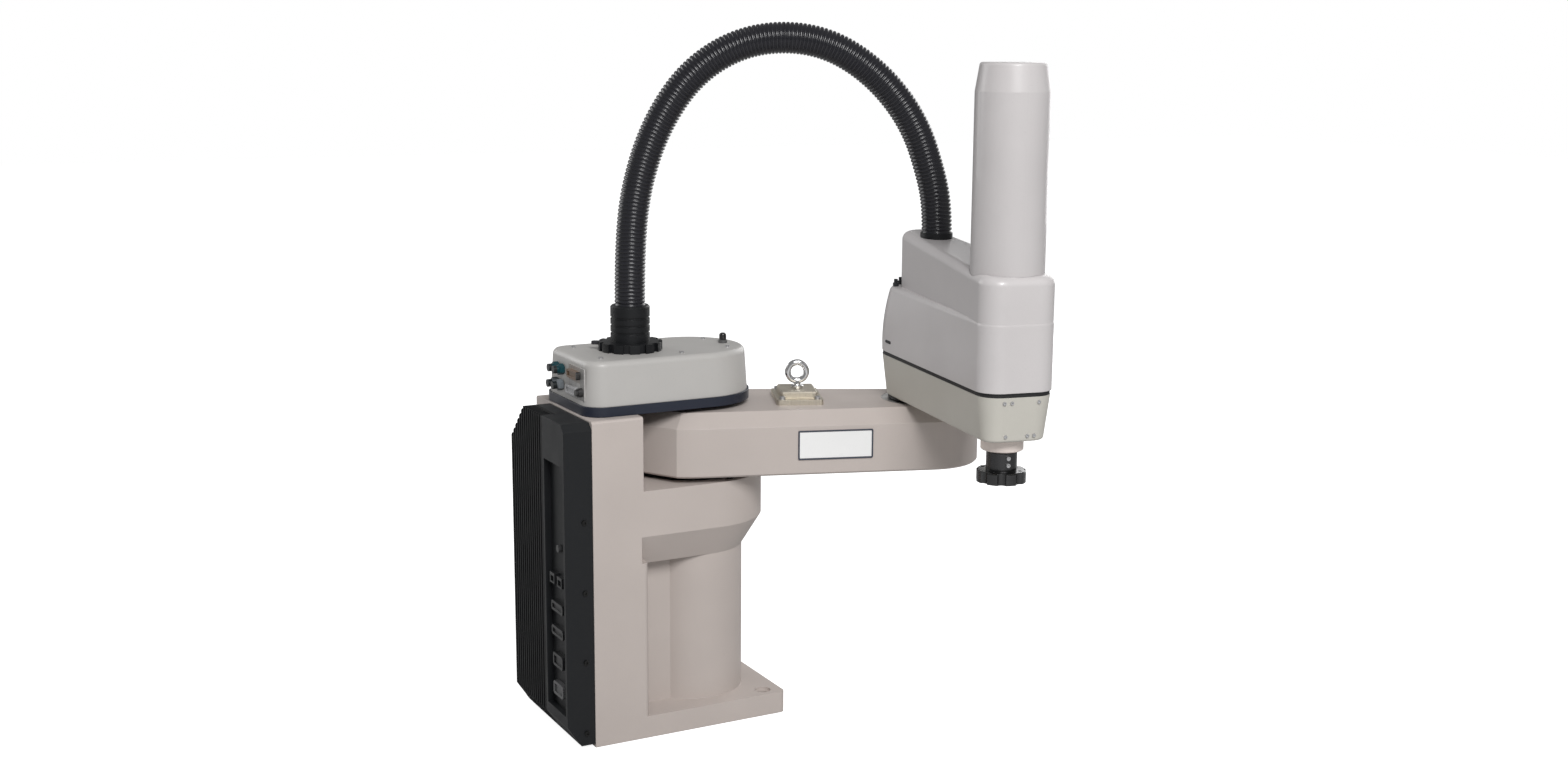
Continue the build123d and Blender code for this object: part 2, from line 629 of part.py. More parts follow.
def link_underside():
    """The hollow that lightens the casting, with ribs across it and a step for its cover."""
    hollow = Pos(0, 0, LINK_BOTTOM_Z - 1) * extrude(underside_outline(5), POCKET_DEPTH + 1)
    hollow -= box_between((158, -POCKET_HALF_WIDTH, 300), (166, POCKET_HALF_WIDTH, 500))
    hollow -= box_between((POCKET_START, -4, 300), (POCKET_END, 4, 500))
    step = Pos(0, 0, LINK_BOTTOM_Z - 1) * extrude(underside_outline(0), SHEET_THICKNESS + 1)
    return hollow + step


def link_underside_cover():
    """The sheet that closes the inner link from below."""
    sheet = extrude(underside_outline(0.3), SHEET_THICKNESS - 0.04)
    return INNER_FRAME * Pos(0, 0, LINK_BOTTOM_Z + 0.02) * sheet


def wall_frame():
    """A frame on the inner link's near wall, X along it and Z out of it."""
    lean = (LINK_INNER_RADIUS - LINK_OUTER_RADIUS) / INNER_LENGTH
    angle = math.degrees(math.asin(lean))
    along = Rot(0, 0, angle) * Pos(PLATE_ALONG, -LINK_INNER_RADIUS, PLATE_CENTRE_Z)
    return INNER_FRAME * along * Rot(90, 0, 0)


def name_plate_frame():
    rim = RectangleRounded(PLATE_LENGTH, PLATE_HEIGHT, 2) - RectangleRounded(
        PLATE_LENGTH - 4, PLATE_HEIGHT - 4, 1)
    return wall_frame() * Pos(0, 0, 0.02) * extrude(rim, 1.4)


def name_plate():
    """A bare plate: nothing is written on it."""
    sheet = RectangleRounded(PLATE_LENGTH - 4.2, PLATE_HEIGHT - 4.2, 1)
    return wall_frame() * Pos(0, 0, 0.02) * extrude(sheet, 0.9)


def lifting_block():
    foot = Pos(LIFT_ALONG, 0, LINK_TOP_Z + 0.02) * extrude(RectangleRounded(64, 88, 4), 7)
    head = Pos(LIFT_ALONG, 0, LINK_TOP_Z + 6) * extrude(
        RectangleRounded(50, 60, 3), LIFT_TOP_Z - LINK_TOP_Z - 6)
    return INNER_FRAME * chamfer_top(foot + head)


def chamfer_top(solid):
    return chamfer(top_edges(solid), 1.5)


def eyebolt():
    section = Plane.XZ * Pos(EYE_RING_RADIUS, 0) * RegularPolygon(EYE_WIRE_RADIUS, 8)
    ring = Pos(LIFT_ALONG, 0, EYE_CENTRE_Z) * Rot(90, 0, 0) * revolve(section, Axis.Z)
    collar = rod(9, LIFT_TOP_Z + 0.02, LIFT_TOP_Z + 4, LIFT_ALONG)
    neck = rod(5, LIFT_TOP_Z + 3, EYE_CENTRE_Z - EYE_RING_RADIUS, LIFT_ALONG)
    return INNER_FRAME * (ring + collar + neck)


def lifting_screws():
    screws = []
    for side_x in (-1, 1):
        for side_y in (-1, 1):
            place = Pos(LIFT_ALONG + 24 * side_x, 37 * side_y, LINK_TOP_Z + 7.04)
            screws.append(INNER_FRAME * place * cap_screw(4, 4))
    return group(screws)


def j2_reducer():
    ring = tube(
        J2_REDUCER_RADIUS, J2_REDUCER_BORE, J2_REDUCER_Z + 0.1, LINK_TOP_Z - 0.4, INNER_LENGTH)
    return INNER_FRAME * ring


def harness_conduit():
    """The corrugated conduit between the glands, as a plain rod of its outer diameter."""
    start = Vector(CONDUIT_X, 0, 0)
    finish = (OUTER_FRAME * Pos(GLAND_ALONG, 0, 0)).position
    heading = (finish - start).normalized()
    points = []
    for distance, height in CONDUIT_ROUTE:
        points.append(start + heading * distance + Vector(0, 0, height))
    radii = []
    for before, corner, after in zip(points, points[1:], points[2:]):
        turn = math.radians((corner - before).get_angle(after - corner))
        run = min((corner - before).length, (after - corner).length)
        radii.append(0.45 * run / math.tan(turn / 2))
    print("conduit corner radii", [round(radius) for radius in radii])
    path = FilletPolyline(*points, radius=radii)
    section = Plane(origin=points[0], z_dir=points[1] - points[0]) * Circle(CONDUIT_RADIUS)
    conduit = sweep(section, path=path)
    ideal = math.pi * CONDUIT_RADIUS ** 2 * path.length
    print("conduit length", round(path.length, 1), "volume ratio", round(conduit.volume / ideal, 4))
    return conduit


# ---- outer link ---------------------------------------------------------------------------
def outer_link_casting():
    rise = TUB_TOP_Z - TUB_BOTTOM_Z
    outline = Pos(0, 0, TUB_TOP_Z) * arm_outline(TUB_JOINT_RADIUS, TUB_NOSE)
    tub = extrude(outline, -rise, taper=TUB_DRAFT)
    tub = fillet(bottom_edges(tub), 4)
    tub -= arm_prism(
        TUB_JOINT_RADIUS, TUB_NOSE, TUB_HOLLOW_INSET, TUB_BOTTOM_Z + TUB_FLOOR, TUB_TOP_Z + 1)
    tub -= rod(J2_SPIGOT_RADIUS + SEAT_GAP, TUB_BOTTOM_Z - 1, TUB_TOP_Z)
    tub += tube(34, 29, TUB_BOTTOM_Z + 1, 466, OUTER_LENGTH)
    tub -= rod(29, TUB_BOTTOM_Z - 1, 467, OUTER_LENGTH)
    return OUTER_FRAME * tub


def link_gasket():
    outer = arm_prism(
        TUB_JOINT_RADIUS, TUB_NOSE, 0.7, TUB_TOP_Z + 0.02, SHELL_BOTTOM_Z - 0.02)
    inner = arm_prism(TUB_JOINT_RADIUS, TUB_NOSE, 3.8, TUB_TOP_Z - 1, SHELL_BOTTOM_Z + 1)
    return OUTER_FRAME * (outer - inner)


def shell_form(inset):
    """The moulded cover's solid form, inset evenly for the inside of its wall."""
    sections = []
    for height, radius in ((SHELL_BOTTOM_Z, SHELL_JOINT_RADIUS),
                           (SHELL_WAIST_Z, SHELL_WAIST_RADIUS),
                           (LEDGE_Z - inset, LEDGE_JOINT_RADIUS)):
        sections.append(Pos(0, 0, height) * arm_outline(radius, SHELL_NOSE, inset))
    lower = loft(sections)
    lower = fillet(top_edges(lower), LEDGE_ROUND - inset)
    crest = arm_prism(CREST_JOINT_RADIUS, CREST_NOSE, inset, LEDGE_Z - 30, CREST_TOP_Z + 40)
    slope = Pos(0, 0, CREST_TOP_Z - inset) * Rot(0, CREST_SLOPE, 0)
    crest -= slope * Box(900, 400, 100, align=UPRIGHT)
    rim = crest.faces().sort_by(Axis.Z)[-1].edges()
    crest = fillet(rim, CREST_ROUND - inset)
    return lower + crest


def outer_cover():
    cover = shell_form(0) - Pos(0, 0, -0.01) * shell_form(SHELL_WALL)
    cover -= rod(CONDUIT_RADIUS + 1.5, CREST_TOP_Z - 30, CREST_TOP_Z + 20, GLAND_ALONG)
    cover -= rod(QUILL_COVER_RADIUS + 0.3, CREST_TOP_Z - 60, CREST_TOP_Z + 20, OUTER_LENGTH)
    return OUTER_FRAME * cover


def arm_gland():
    collar = rod(CONDUIT_RADIUS + 1.2, CREST_TOP_Z - 16, ARM_GLAND_TOP_Z, GLAND_ALONG)
    collar = chamfer(top_edges(collar), 0.6)
    nut = tube(29, 17, CREST_TOP_Z - 20, CREST_TOP_Z - 12, GLAND_ALONG)
    bore = rod(17, CREST_TOP_Z - 30, ARM_GLAND_TOP_Z + 1, GLAND_ALONG)
    return OUTER_FRAME * (collar + nut - bore)


def quill_cover():
    half = [
        (0, QUILL_COVER_FOOT_Z), (QUILL_COVER_RADIUS, QUILL_COVER_FOOT_Z),
        (QUILL_COVER_RADIUS, QUILL_COVER_SHOULDER_Z), (QUILL_COVER_TOP_RADIUS, QUILL_COVER_TOP_Z),
        (0, QUILL_COVER_TOP_Z),
    ]
    body = revolve(Plane.XZ * make_face(Polyline(*half, close=True)), Axis.Z)
    rim = top_edges(body)
    body = fillet(rim, 4)
    hollow = rod(QUILL_COVER_RADIUS - 3, QUILL_COVER_FOOT_Z - 1, QUILL_COVER_SHOULDER_Z - 2)
    hollow += rod(QUILL_COVER_TOP_RADIUS - 4, QUILL_COVER_SHOULDER_Z - 3, QUILL_COVER_TOP_Z - 4)
    return OUTER_FRAME * Pos(OUTER_LENGTH, 0, 0) * (body - hollow)


def nose_collar():
    collar = tube(27, NUT_RADIUS + 0.6, 423, TUB_BOTTOM_Z - 0.02)
    collar = chamfer(collar.edges().sort_by(Axis.Z)[0:1], 1.2)
    return OUTER_FRAME * Pos(OUTER_LENGTH, 0, 0) * collar


def nose_screws():
    """Small screws in the outer link's flat nose: an upper row and a lower row."""
    screws = []
    rows = ((492.0, (-22, -12, 24)), (449.0, (-17, 12, 21)))
    for height, offsets in rows:
        lean = (TUB_TOP_Z - height) * math.tan(math.radians(TUB_DRAFT))
        for offset in offsets:
            place = Pos(OUTER_LENGTH + TUB_NOSE[1] - lean, offset, height)
            head = Pos(0, 0, 0.05) * cap_screw(2.3, 1.6)
            screws.append(OUTER_FRAME * place * Rot(0, 90 + TUB_DRAFT, 0) * head)
    return group(screws)


def arm_air_fittings():
    """Fittings for the hand's air, on the ledge behind the second joint."""
    fittings = []
    for angle in (250, 215, 180, 145):
        place = Rot(0, 0, angle) * Pos(38.2, 0, LEDGE_Z + 0.02)
        body = extrude(RegularPolygon(4.2, 6), 5)
        fittings.append(OUTER_FRAME * place * (body + rod(2.7, 5, 10)))
    return group(fittings)


def j2_output_hub():
    flange = rod(J2_HUB_RADIUS, LINK_TOP_Z + 0.8, TUB_BOTTOM_Z - 0.02)
    spigot = rod(J2_REDUCER_BORE - RUNNING_GAP, J2_REDUCER_Z + 12, LINK_TOP_Z + 1)
    centring = rod(J2_SPIGOT_RADIUS, TUB_BOTTOM_Z - 1, TUB_BOTTOM_Z + TUB_FLOOR)
    bore = rod(12, J2_REDUCER_Z + 10, TUB_BOTTOM_Z + TUB_FLOOR + 3)
    return OUTER_FRAME * (flange + spigot + centring - bore)


def j2_motor():
    frame = Pos(0, 0, TUB_BOTTOM_Z + TUB_FLOOR + 0.02) * extrude(RectangleRounded(60, 60, 9), 84)
    return OUTER_FRAME * (frame + rod(26, 530, 566) + rod(7, 410, 448))


def drive_plate():
    """The plate across the casting that carries the motors and the ball nut's bearing."""
    plate = arm_prism(
        TUB_JOINT_RADIUS, TUB_NOSE, 5, DRIVE_PLATE_Z, DRIVE_PLATE_Z + DRIVE_PLATE_THICKNESS)
    plate -= box_between((-100, -100, DRIVE_PLATE_Z - 1), (DRIVE_PLATE_START, 100, SHELL_WAIST_Z))
    for radius, along in ((NUT_RADIUS + 1, OUTER_LENGTH), (16, J4_MOTOR_ALONG)):
        plate -= rod(radius, DRIVE_PLATE_Z - 1, DRIVE_PLATE_Z + DRIVE_PLATE_THICKNESS + 1, along)
    return OUTER_FRAME * plate


def j3_motor_bracket():
    top = Pos(J3_MOTOR_ALONG, 0, 538) * extrude(RectangleRounded(64, 64, 5), 5)
    bracket = top - rod(16, 530, 550, J3_MOTOR_ALONG)
    for side in (-1, 1):
        bracket += box_between(
            (J3_MOTOR_ALONG - 28, side * 29.5 - 2.5, DRIVE_PLATE_Z + DRIVE_PLATE_THICKNESS + 0.02),
            (J3_MOTOR_ALONG + 28, side * 29.5 + 2.5, 539))
    return OUTER_FRAME * bracket


def servo_motor(along, bottom, size, length):
    frame = Pos(along, 0, bottom) * extrude(RectangleRounded(size, size, 7), length)
    encoder = rod(0.42 * size, bottom + length, bottom + length + 22, along)
    return OUTER_FRAME * (frame + encoder)


def j3_motor():
    return servo_motor(J3_MOTOR_ALONG, J3_MOTOR_Z, 56, 62)


def j4_motor():
    return servo_motor(J4_MOTOR_ALONG, J4_MOTOR_Z, 52, 66)


def timing_pulley(teeth, bore, bottom, along):
    """A toothed belt pulley: its grooves run the width of the belt."""
    radius = teeth * BELT_PITCH / (2 * math.pi)
    pulley = tube(radius, bore, bottom, bottom + BELT_WIDTH, along)
    gap = Pos(along + radius, 0, bottom + BELT_WIDTH / 2) * Box(
        2 * TOOTH_DEPTH, TOOTH_GAP, BELT_WIDTH + 2)
    centre = Pos(along, 0, 0)
    for index in range(teeth):
        pulley -= centre * Rot(0, 0, 360.0 * index / teeth) * Pos(-along, 0, 0) * gap
    return OUTER_FRAME * pulley


def motor_pulley(bottom, along, motor_z):
    """A motor's pulley with the shaft that carries it, ending just below the motor."""
    shaft = OUTER_FRAME * rod(5, bottom + 1, motor_z - SHAFT_END_GAP, along)
    return timing_pulley(MOTOR_PULLEY_TEETH, 3, bottom, along) + shaft


def timing_belt(big_radius, big_along, small_along, bottom):
    """A belt round two pulleys, a little clear of both."""
    thickness = 1.8
    length = big_along - small_along
    inside = link_prism(
        MOTOR_PULLEY_RADIUS + BODY_GAP, big_radius + BODY_GAP, length, bottom - 1,
        bottom + BELT_WIDTH + 1)
    outside = link_prism(
        MOTOR_PULLEY_RADIUS + BODY_GAP + thickness, big_radius + BODY_GAP + thickness, length,
        bottom + 0.5, bottom + BELT_WIDTH - 0.5)
    return OUTER_FRAME * Pos(small_along, 0, 0) * (outside - inside)


def j3_belt():
    return timing_belt(J3_PULLEY_RADIUS, OUTER_LENGTH, J3_MOTOR_ALONG, J3_BELT_Z)


def j4_belt():
    return timing_belt(J4_PULLEY_RADIUS, OUTER_LENGTH, J4_MOTOR_ALONG, J4_BELT_Z)


def j3_motor_pulley():
    return motor_pulley(J3_BELT_Z, J3_MOTOR_ALONG, J3_MOTOR_Z)


def j4_motor_pulley():
    return motor_pulley(J4_BELT_Z, J4_MOTOR_ALONG, J4_MOTOR_Z)


def bearing(bottom, top, outer):
    ring = tube(outer, NUT_RADIUS + RUNNING_GAP, bottom, top, OUTER_LENGTH)
    return OUTER_FRAME * ring


def spline_nut_bearing():
    return bearing(TUB_BOTTOM_Z + 3, 465, 28.9)


def ball_nut_bearing():
    return bearing(DRIVE_PLATE_Z + DRIVE_PLATE_THICKNESS + 0.02, 519, 27)


# ---- quill --------------------------------------------------------------------------------
def nut(bottom, top):
    """A ball-screw or spline nut round the shaft."""
    body = tube(NUT_RADIUS, SHAFT_RADIUS + RUNNING_GAP, bottom, top, OUTER_LENGTH)
    return OUTER_FRAME * body


def spline_nut():
    return nut(425.0, 496.0)


def ball_nut():
    return nut(DRIVE_PLATE_Z + 1, 562.0)


def j4_driven_pulley():
    return timing_pulley(J4_PULLEY_TEETH, NUT_RADIUS + SEAT_GAP, J4_BELT_Z, OUTER_LENGTH)


def j3_driven_pulley():
    return timing_pulley(J3_PULLEY_TEETH, NUT_RADIUS + SEAT_GAP, J3_BELT_Z, OUTER_LENGTH)


def quill_shaft():
    """The hollow shaft; its ball grooves lie inside the nuts."""
    shaft = tube(SHAFT_RADIUS, SHAFT_BORE_RADIUS, FLANGE_FACE_Z + 3, SHAFT_TOP_Z)
    return OUTER_FRAME * Pos(OUTER_LENGTH, 0, 0) * shaft


def tool_flange():
    disc = Pos(0, 0, FLANGE_FACE_Z) * extrude(Circle(FLANGE_RADIUS), FLANGE_THICKNESS)
    hub = rod(HUB_RADIUS, FLANGE_FACE_Z + FLANGE_THICKNESS - 1, HUB_TOP_Z)
    hub = chamfer(top_edges(hub), 1)
    flange = chamfer(top_edges(disc), 1.5) + hub
    flange -= rod(SHAFT_RADIUS + SEAT_GAP, FLANGE_FACE_Z + 3, HUB_TOP_Z + 1)
    flange -= rod(SHAFT_BORE_RADIUS, FLANGE_FACE_Z - 1, HUB_TOP_Z)
    for hole in ring_of(rod(FLANGE_HOLE_RADIUS, 380, 405), 4, FLANGE_PCD / 2, 45):
        flange -= hole
    scallop = rod(SCALLOP_RADIUS, FLANGE_FACE_Z - 1, FLANGE_FACE_Z + FLANGE_THICKNESS + 1)
    for cut in ring_of(scallop, SCALLOP_COUNT, SCALLOP_CENTRE, 22.5):
        flange -= cut
    flange -= Pos(0, 15, 410) * Box(1.6, 16, 40)
    return OUTER_FRAME * Pos(OUTER_LENGTH, 0, 0) * flange


def flange_clamp_screws():
    screws = []
    for height in (405.5, 414.5):
        place = Pos(OUTER_LENGTH + HUB_RADIUS + 0.05, 0, height) * Rot(0, 90, 0)
        screws.append(OUTER_FRAME * place * cap_screw(2.6, 2.4))
    return group(screws)


def stop_collar():
    """The collar that stops the quill at the bottom of its stroke."""
    bottom = 562.0 + QUILL_STROKE + 1.5
    collar = tube(16, SHAFT_RADIUS + SEAT_GAP, bottom, bottom + 12, OUTER_LENGTH)
    return OUTER_FRAME * collar


NODES = [
    base_casting, amplifier_chassis, heat_sink, connector_panel, panel_connectors,
    brake_release_button, amplifier_boards, chassis_screws, cover_plate, top_cover,
    conduit_gland, gland_ring_nut, cover_screws, status_lamp, air_fittings, user_connectors,
    j1_motor, j1_reducer, j1_output_hub, j1_stop_bumpers,
    inner_link_casting, link_underside_cover, name_plate_frame, name_plate, lifting_block,
    eyebolt, lifting_screws,
    j2_reducer, harness_conduit,
    outer_link_casting, link_gasket, outer_cover, arm_gland, quill_cover, nose_collar,
    nose_screws, arm_air_fittings, j2_output_hub, j2_motor, drive_plate, j3_motor_bracket,
    j3_motor, j4_motor, j3_belt, j4_belt, j3_motor_pulley, j4_motor_pulley,
    spline_nut_bearing, ball_nut_bearing, spline_nut, ball_nut, j4_driven_pulley,
    j3_driven_pulley, quill_shaft, tool_flange, flange_clamp_screws, stop_collar,
]


def main():
    os.makedirs("parts", exist_ok=True)
    for node in NODES:
        export_step(node(), os.path.join("parts", node.__name__ + ".step"))


main()
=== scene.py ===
import json
import math

import bmesh
import bpy
from bpy.props import FloatProperty, FloatVectorProperty, IntProperty, PointerProperty
from mathutils import Matrix, Vector


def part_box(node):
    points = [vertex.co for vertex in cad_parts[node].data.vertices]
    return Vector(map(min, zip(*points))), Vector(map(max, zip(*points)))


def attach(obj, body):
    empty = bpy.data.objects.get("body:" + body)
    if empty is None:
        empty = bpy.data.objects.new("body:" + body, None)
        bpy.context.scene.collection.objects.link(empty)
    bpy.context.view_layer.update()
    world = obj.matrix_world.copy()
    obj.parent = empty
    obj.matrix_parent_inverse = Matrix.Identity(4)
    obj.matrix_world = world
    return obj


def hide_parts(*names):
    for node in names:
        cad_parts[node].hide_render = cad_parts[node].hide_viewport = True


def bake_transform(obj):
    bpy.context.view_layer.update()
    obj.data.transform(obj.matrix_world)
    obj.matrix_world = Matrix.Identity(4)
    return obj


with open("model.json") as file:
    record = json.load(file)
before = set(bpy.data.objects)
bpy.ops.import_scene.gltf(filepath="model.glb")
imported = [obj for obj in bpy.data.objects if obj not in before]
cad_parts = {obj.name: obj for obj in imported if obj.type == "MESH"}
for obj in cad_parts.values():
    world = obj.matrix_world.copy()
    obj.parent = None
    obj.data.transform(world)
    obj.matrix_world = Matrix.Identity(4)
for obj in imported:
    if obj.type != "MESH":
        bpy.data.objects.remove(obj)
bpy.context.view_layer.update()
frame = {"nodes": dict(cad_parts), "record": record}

bl_info = {
    "name": "Bench robot finishes",
    "version": (1, 0, 0),
    "blender": (4, 5, 0),
    "location": "3D View > Sidebar > Robot",
    "description": "Paint, metal, hose and studio for a four-axis bench robot",
    "category": "Object",
}

# The harness hose's route: metres along its own upright plane, then metres above the mounting face.
HOSE_ROUTE = (
    (0.0, 0.575), (0.0, 0.650), (0.010, 0.738), (0.040, 0.822), (0.090, 0.890), (0.163, 0.9285),
    (0.250, 0.9285), (0.323, 0.889), (0.380, 0.822), (0.4075, 0.742), (0.4141, 0.697),
    (0.4141, 0.672),
)
HOSE_FOOT = Vector((-0.087, 0.0, 0.0))
HOSE_HEADING = Vector((0.379808, -0.164746, 0.0)).normalized()
ROUTE_ORDER = 3
ROUTE_STEPS = 24
STEPS_PER_RING = 6.0
RING_START = 0.5  # half a ring, so that both halves of the hose end on a crest
GROOVE_POWER = 3.0

# Screw heads: the hex socket's radius and rise, as shares of the head's radius and height.
HEX_SIDES = 6
SOCKET_RADIUS = 0.56
SOCKET_RISE = 0.45
MERGE_DISTANCE = 0.000001

# Heights of the places inside the nose and the flange that their screws face away from.
NOSE_MIDDLE = 0.47
CLAMP_MIDDLE = 0.41

# The lifting eye: radius and height of its collar's corners, then its neck, ring and wire.
EYE_COLLAR = (
    (0.0, 0.0), (0.0085, 0.0), (0.009, 0.0005), (0.009, 0.0034), (0.0084, 0.004),
    (0.0058, 0.0046), (0.0050, 0.0062))
EYE_NECK = 0.0050
EYE_NECK_SIDES = 32
EYE_RING = 0.0128
EYE_WIRE = 0.0043
EYE_STEPS = 56
EYE_SIDES = 20
SHARP_ANGLE = 0.6

# Where one finish gives way to the next on the lamp and the connectors.
LAMP_SOCKET_TOP = 0.5183
PLUG_WIDTH = 0.0145
PLATE_DEPTH = 0.00202
PLATED_TOP = 0.098
RELEASE_RING = 0.006
FINISH_BLUR = 0.0001

# The outer link casting's tint of the arm paint, and the stretch of a turned part's tool marks.
CAST_TINT = (0.93, 0.94, 0.85)
TURNING = (1.0, 1.0, 14.0)

# The ring nut's lever and the cover's side plug: length, width and thickness.
SLAB_SIDES = 10
SLAB_CHAMFER = 0.0005
LEVER_HEADING = Vector((-0.8796, 0.4758, 0.0))
LEVER_SIZE = (0.020, 0.009, 0.0045)
PLUG_PLACE = Vector((0.2441, -0.1245, 0.5187))
PLUG_HEADING = Vector((-0.173, -0.985, 0.0))
PLUG_SIZE = (0.019, 0.0042, 0.0016)

FLOOR_REACH = 12.0
FLOOR_LEVEL = -0.0005
KEY_SIZE = 1.7
KEY_PLACE = (-0.71, -3.16, 2.91)
FILL_SIZE = 2.2
REAR_PLACE = (-1.9, 2.9, 1.5)
SIDE_PLACE = (3.0, 1.7, 1.4)
LIGHT_AIM = Vector((0.05, -0.1, 0.45))
CAMERA_PLACE = (-1.03067, -2.18089, 0.92175)
CAMERA_ANGLES = (-28.41, 10.77, 0.42)  # azimuth, elevation and roll, in degrees
SENSOR_WIDTH = 36.0
NEAREST = 0.05
FARTHEST = 60.0


# ---- settings -------------------------------------------------------------------------------

def colour(name, description, value):
    return FloatVectorProperty(
        name=name, description=description, default=value, size=3, min=0.0, max=1.0, subtype="COLOR")


def length(name, description, value):
    return FloatProperty(
        name=name, description=description, default=value, min=0.0, precision=5, unit="LENGTH")


class PaintSettings(bpy.types.PropertyGroup):
    """Colours and surface sizes of the painted, plated and moulded parts."""

    casting: colour("Casting paint", "Warm grey of the base and inner link", (0.495, 0.440, 0.410))
    cover: colour("Cover paint", "Light grey of the rear cover", (0.450, 0.438, 0.422))
    arm: colour("Arm paint", "Light grey of the outer link and the quill cover", (0.57, 0.545, 0.545))
    band: colour("Cover band", "Blue black of the band under the rear cover", (0.014, 0.018, 0.032))
    chassis: colour("Chassis paint", "Black of the amplifier chassis", (0.010, 0.011, 0.0125))
    peel: length("Orange peel", "Height of the paint's fine waves", 0.00006)


class HoseSettings(bpy.types.PropertyGroup):
    """Sizes of the corrugated harness hose."""

    diameter: length("Diameter", "Outside of the hose's rings", 0.0412)
    pitch: length("Pitch", "Distance from one ring to the next", 0.0052)
    depth: length("Depth", "Depth of the grooves between rings", 0.0021)
    sides: IntProperty(name="Sides", description="Faces round the hose", default=40, min=12, max=96)


class ScrewSettings(bpy.types.PropertyGroup):
    """Fineness of the small screws."""

    sides: IntProperty(
        name="Screw sides", description="Faces round a screw head", default=28, min=8, max=64)


class StudioSettings(bpy.types.PropertyGroup):
    """Camera, floor and soft lights."""

    lens: FloatProperty(name="Lens", description="Focal length", default=40.870, unit="CAMERA")
    floor: colour("Floor", "Colour of the plain floor", (0.58, 0.58, 0.58))
    key: FloatProperty(name="Key light", description="Softbox in front", default=134.0, unit="POWER")
    fill: FloatProperty(
        name="Fill light", description="Softboxes behind and beside", default=34.0, unit="POWER")
    sky: FloatProperty(name="Surround", description="Brightness of the room as light", default=0.28)
    glow: FloatProperty(
        name="Floor glow", description="Brightness that the camera alone sees", default=0.9)


# ---- shader helpers -------------------------------------------------------------------------

class Shader:
    """A material under construction, on Object coordinates."""

    def __init__(self, name, roughness, metallic=0.0, specular=0.5, coat=0.0):
        self.material = bpy.data.materials.new(name)
        self.material.use_nodes = True
        self.tree = self.material.node_tree
        self.tree.nodes.clear()
        self.output = self.tree.nodes.new("ShaderNodeOutputMaterial")
        self.surface = self.tree.nodes.new("ShaderNodeBsdfPrincipled")
        self.surface.inputs["Roughness"].default_value = roughness
        self.surface.inputs["Metallic"].default_value = metallic
        self.surface.inputs["Specular IOR Level"].default_value = specular
        self.surface.inputs["Coat Weight"].default_value = coat
        self.tree.links.new(self.surface.outputs["BSDF"], self.output.inputs["Surface"])
        self.place = self.tree.nodes.new("ShaderNodeTexCoord").outputs["Object"]

    def link(self, source, target):
        self.tree.links.new(source, target)

    def mapping(self, stretch):
        node = self.tree.nodes.new("ShaderNodeMapping")
        node.inputs["Scale"].default_value = stretch
        self.link(self.place, node.inputs["Vector"])
        return node.outputs["Vector"]

    def noise(self, scale, detail=2.0, vector=None):
        node = self.tree.nodes.new("ShaderNodeTexNoise")
        node.inputs["Scale"].default_value = scale
        node.inputs["Detail"].default_value = detail
        self.link(vector or self.place, node.inputs["Vector"])
        return node.outputs["Fac"]

    def ramp(self, source, low, high, start=0.0, end=1.0):
        node = self.tree.nodes.new("ShaderNodeMapRange")
        node.inputs["From Min"].default_value = low
        node.inputs["From Max"].default_value = high
        node.inputs["To Min"].default_value = start
        node.inputs["To Max"].default_value = end
        self.link(source, node.inputs["Value"])
        return node.outputs["Result"]

    def mix(self, share, first, second):
        node = self.tree.nodes.new("ShaderNodeMix")
        node.data_type = "RGBA"
        for socket, value in ((node.inputs[6], first), (node.inputs[7], second)):
            if hasattr(value, "links"):
                self.link(value, socket)
            else:
                socket.default_value = (*value[:3], 1.0)
        self.link(share, node.inputs[0])
        return node.outputs[2]

    def edge(self, radius):
        """The normal rounded at edges, and a mask that is 1 near them and 0 on flat faces."""
        rounded = self.tree.nodes.new("ShaderNodeBevel")
        rounded.samples = 4
        rounded.inputs["Radius"].default_value = radius
        flat = self.tree.nodes.new("ShaderNodeNewGeometry")
        compare = self.tree.nodes.new("ShaderNodeVectorMath")
        compare.operation = "DOT_PRODUCT"
        self.link(rounded.outputs["Normal"], compare.inputs[0])
        self.link(flat.outputs["Normal"], compare.inputs[1])
        return rounded.outputs["Normal"], self.ramp(compare.outputs["Value"], 1.0, 0.85)

    def beyond(self, axis, position):
        """1 past a place along an axis, 0 before it."""
        parts = self.tree.nodes.new("ShaderNodeSeparateXYZ")
        self.link(self.place, parts.inputs["Vector"])
        return self.ramp(
            parts.outputs["XYZ".index(axis)], position - FINISH_BLUR, position + FINISH_BLUR)

    def bump(self, height, distance, strength, normal=None):
        node = self.tree.nodes.new("ShaderNodeBump")
        node.inputs["Distance"].default_value = distance
        node.inputs["Strength"].default_value = strength
        self.link(height, node.inputs["Height"])
        if normal is not None:
            self.link(normal, node.inputs["Normal"])
        self.link(node.outputs["Normal"], self.surface.inputs["Normal"])

    def colour(self, source):
        self.link(source, self.surface.inputs["Base Color"])

    def roughness(self, source):
        self.link(source, self.surface.inputs["Roughness"])


def tint(value, factor):
    return tuple(min(1.0, channel * factor) for channel in value)


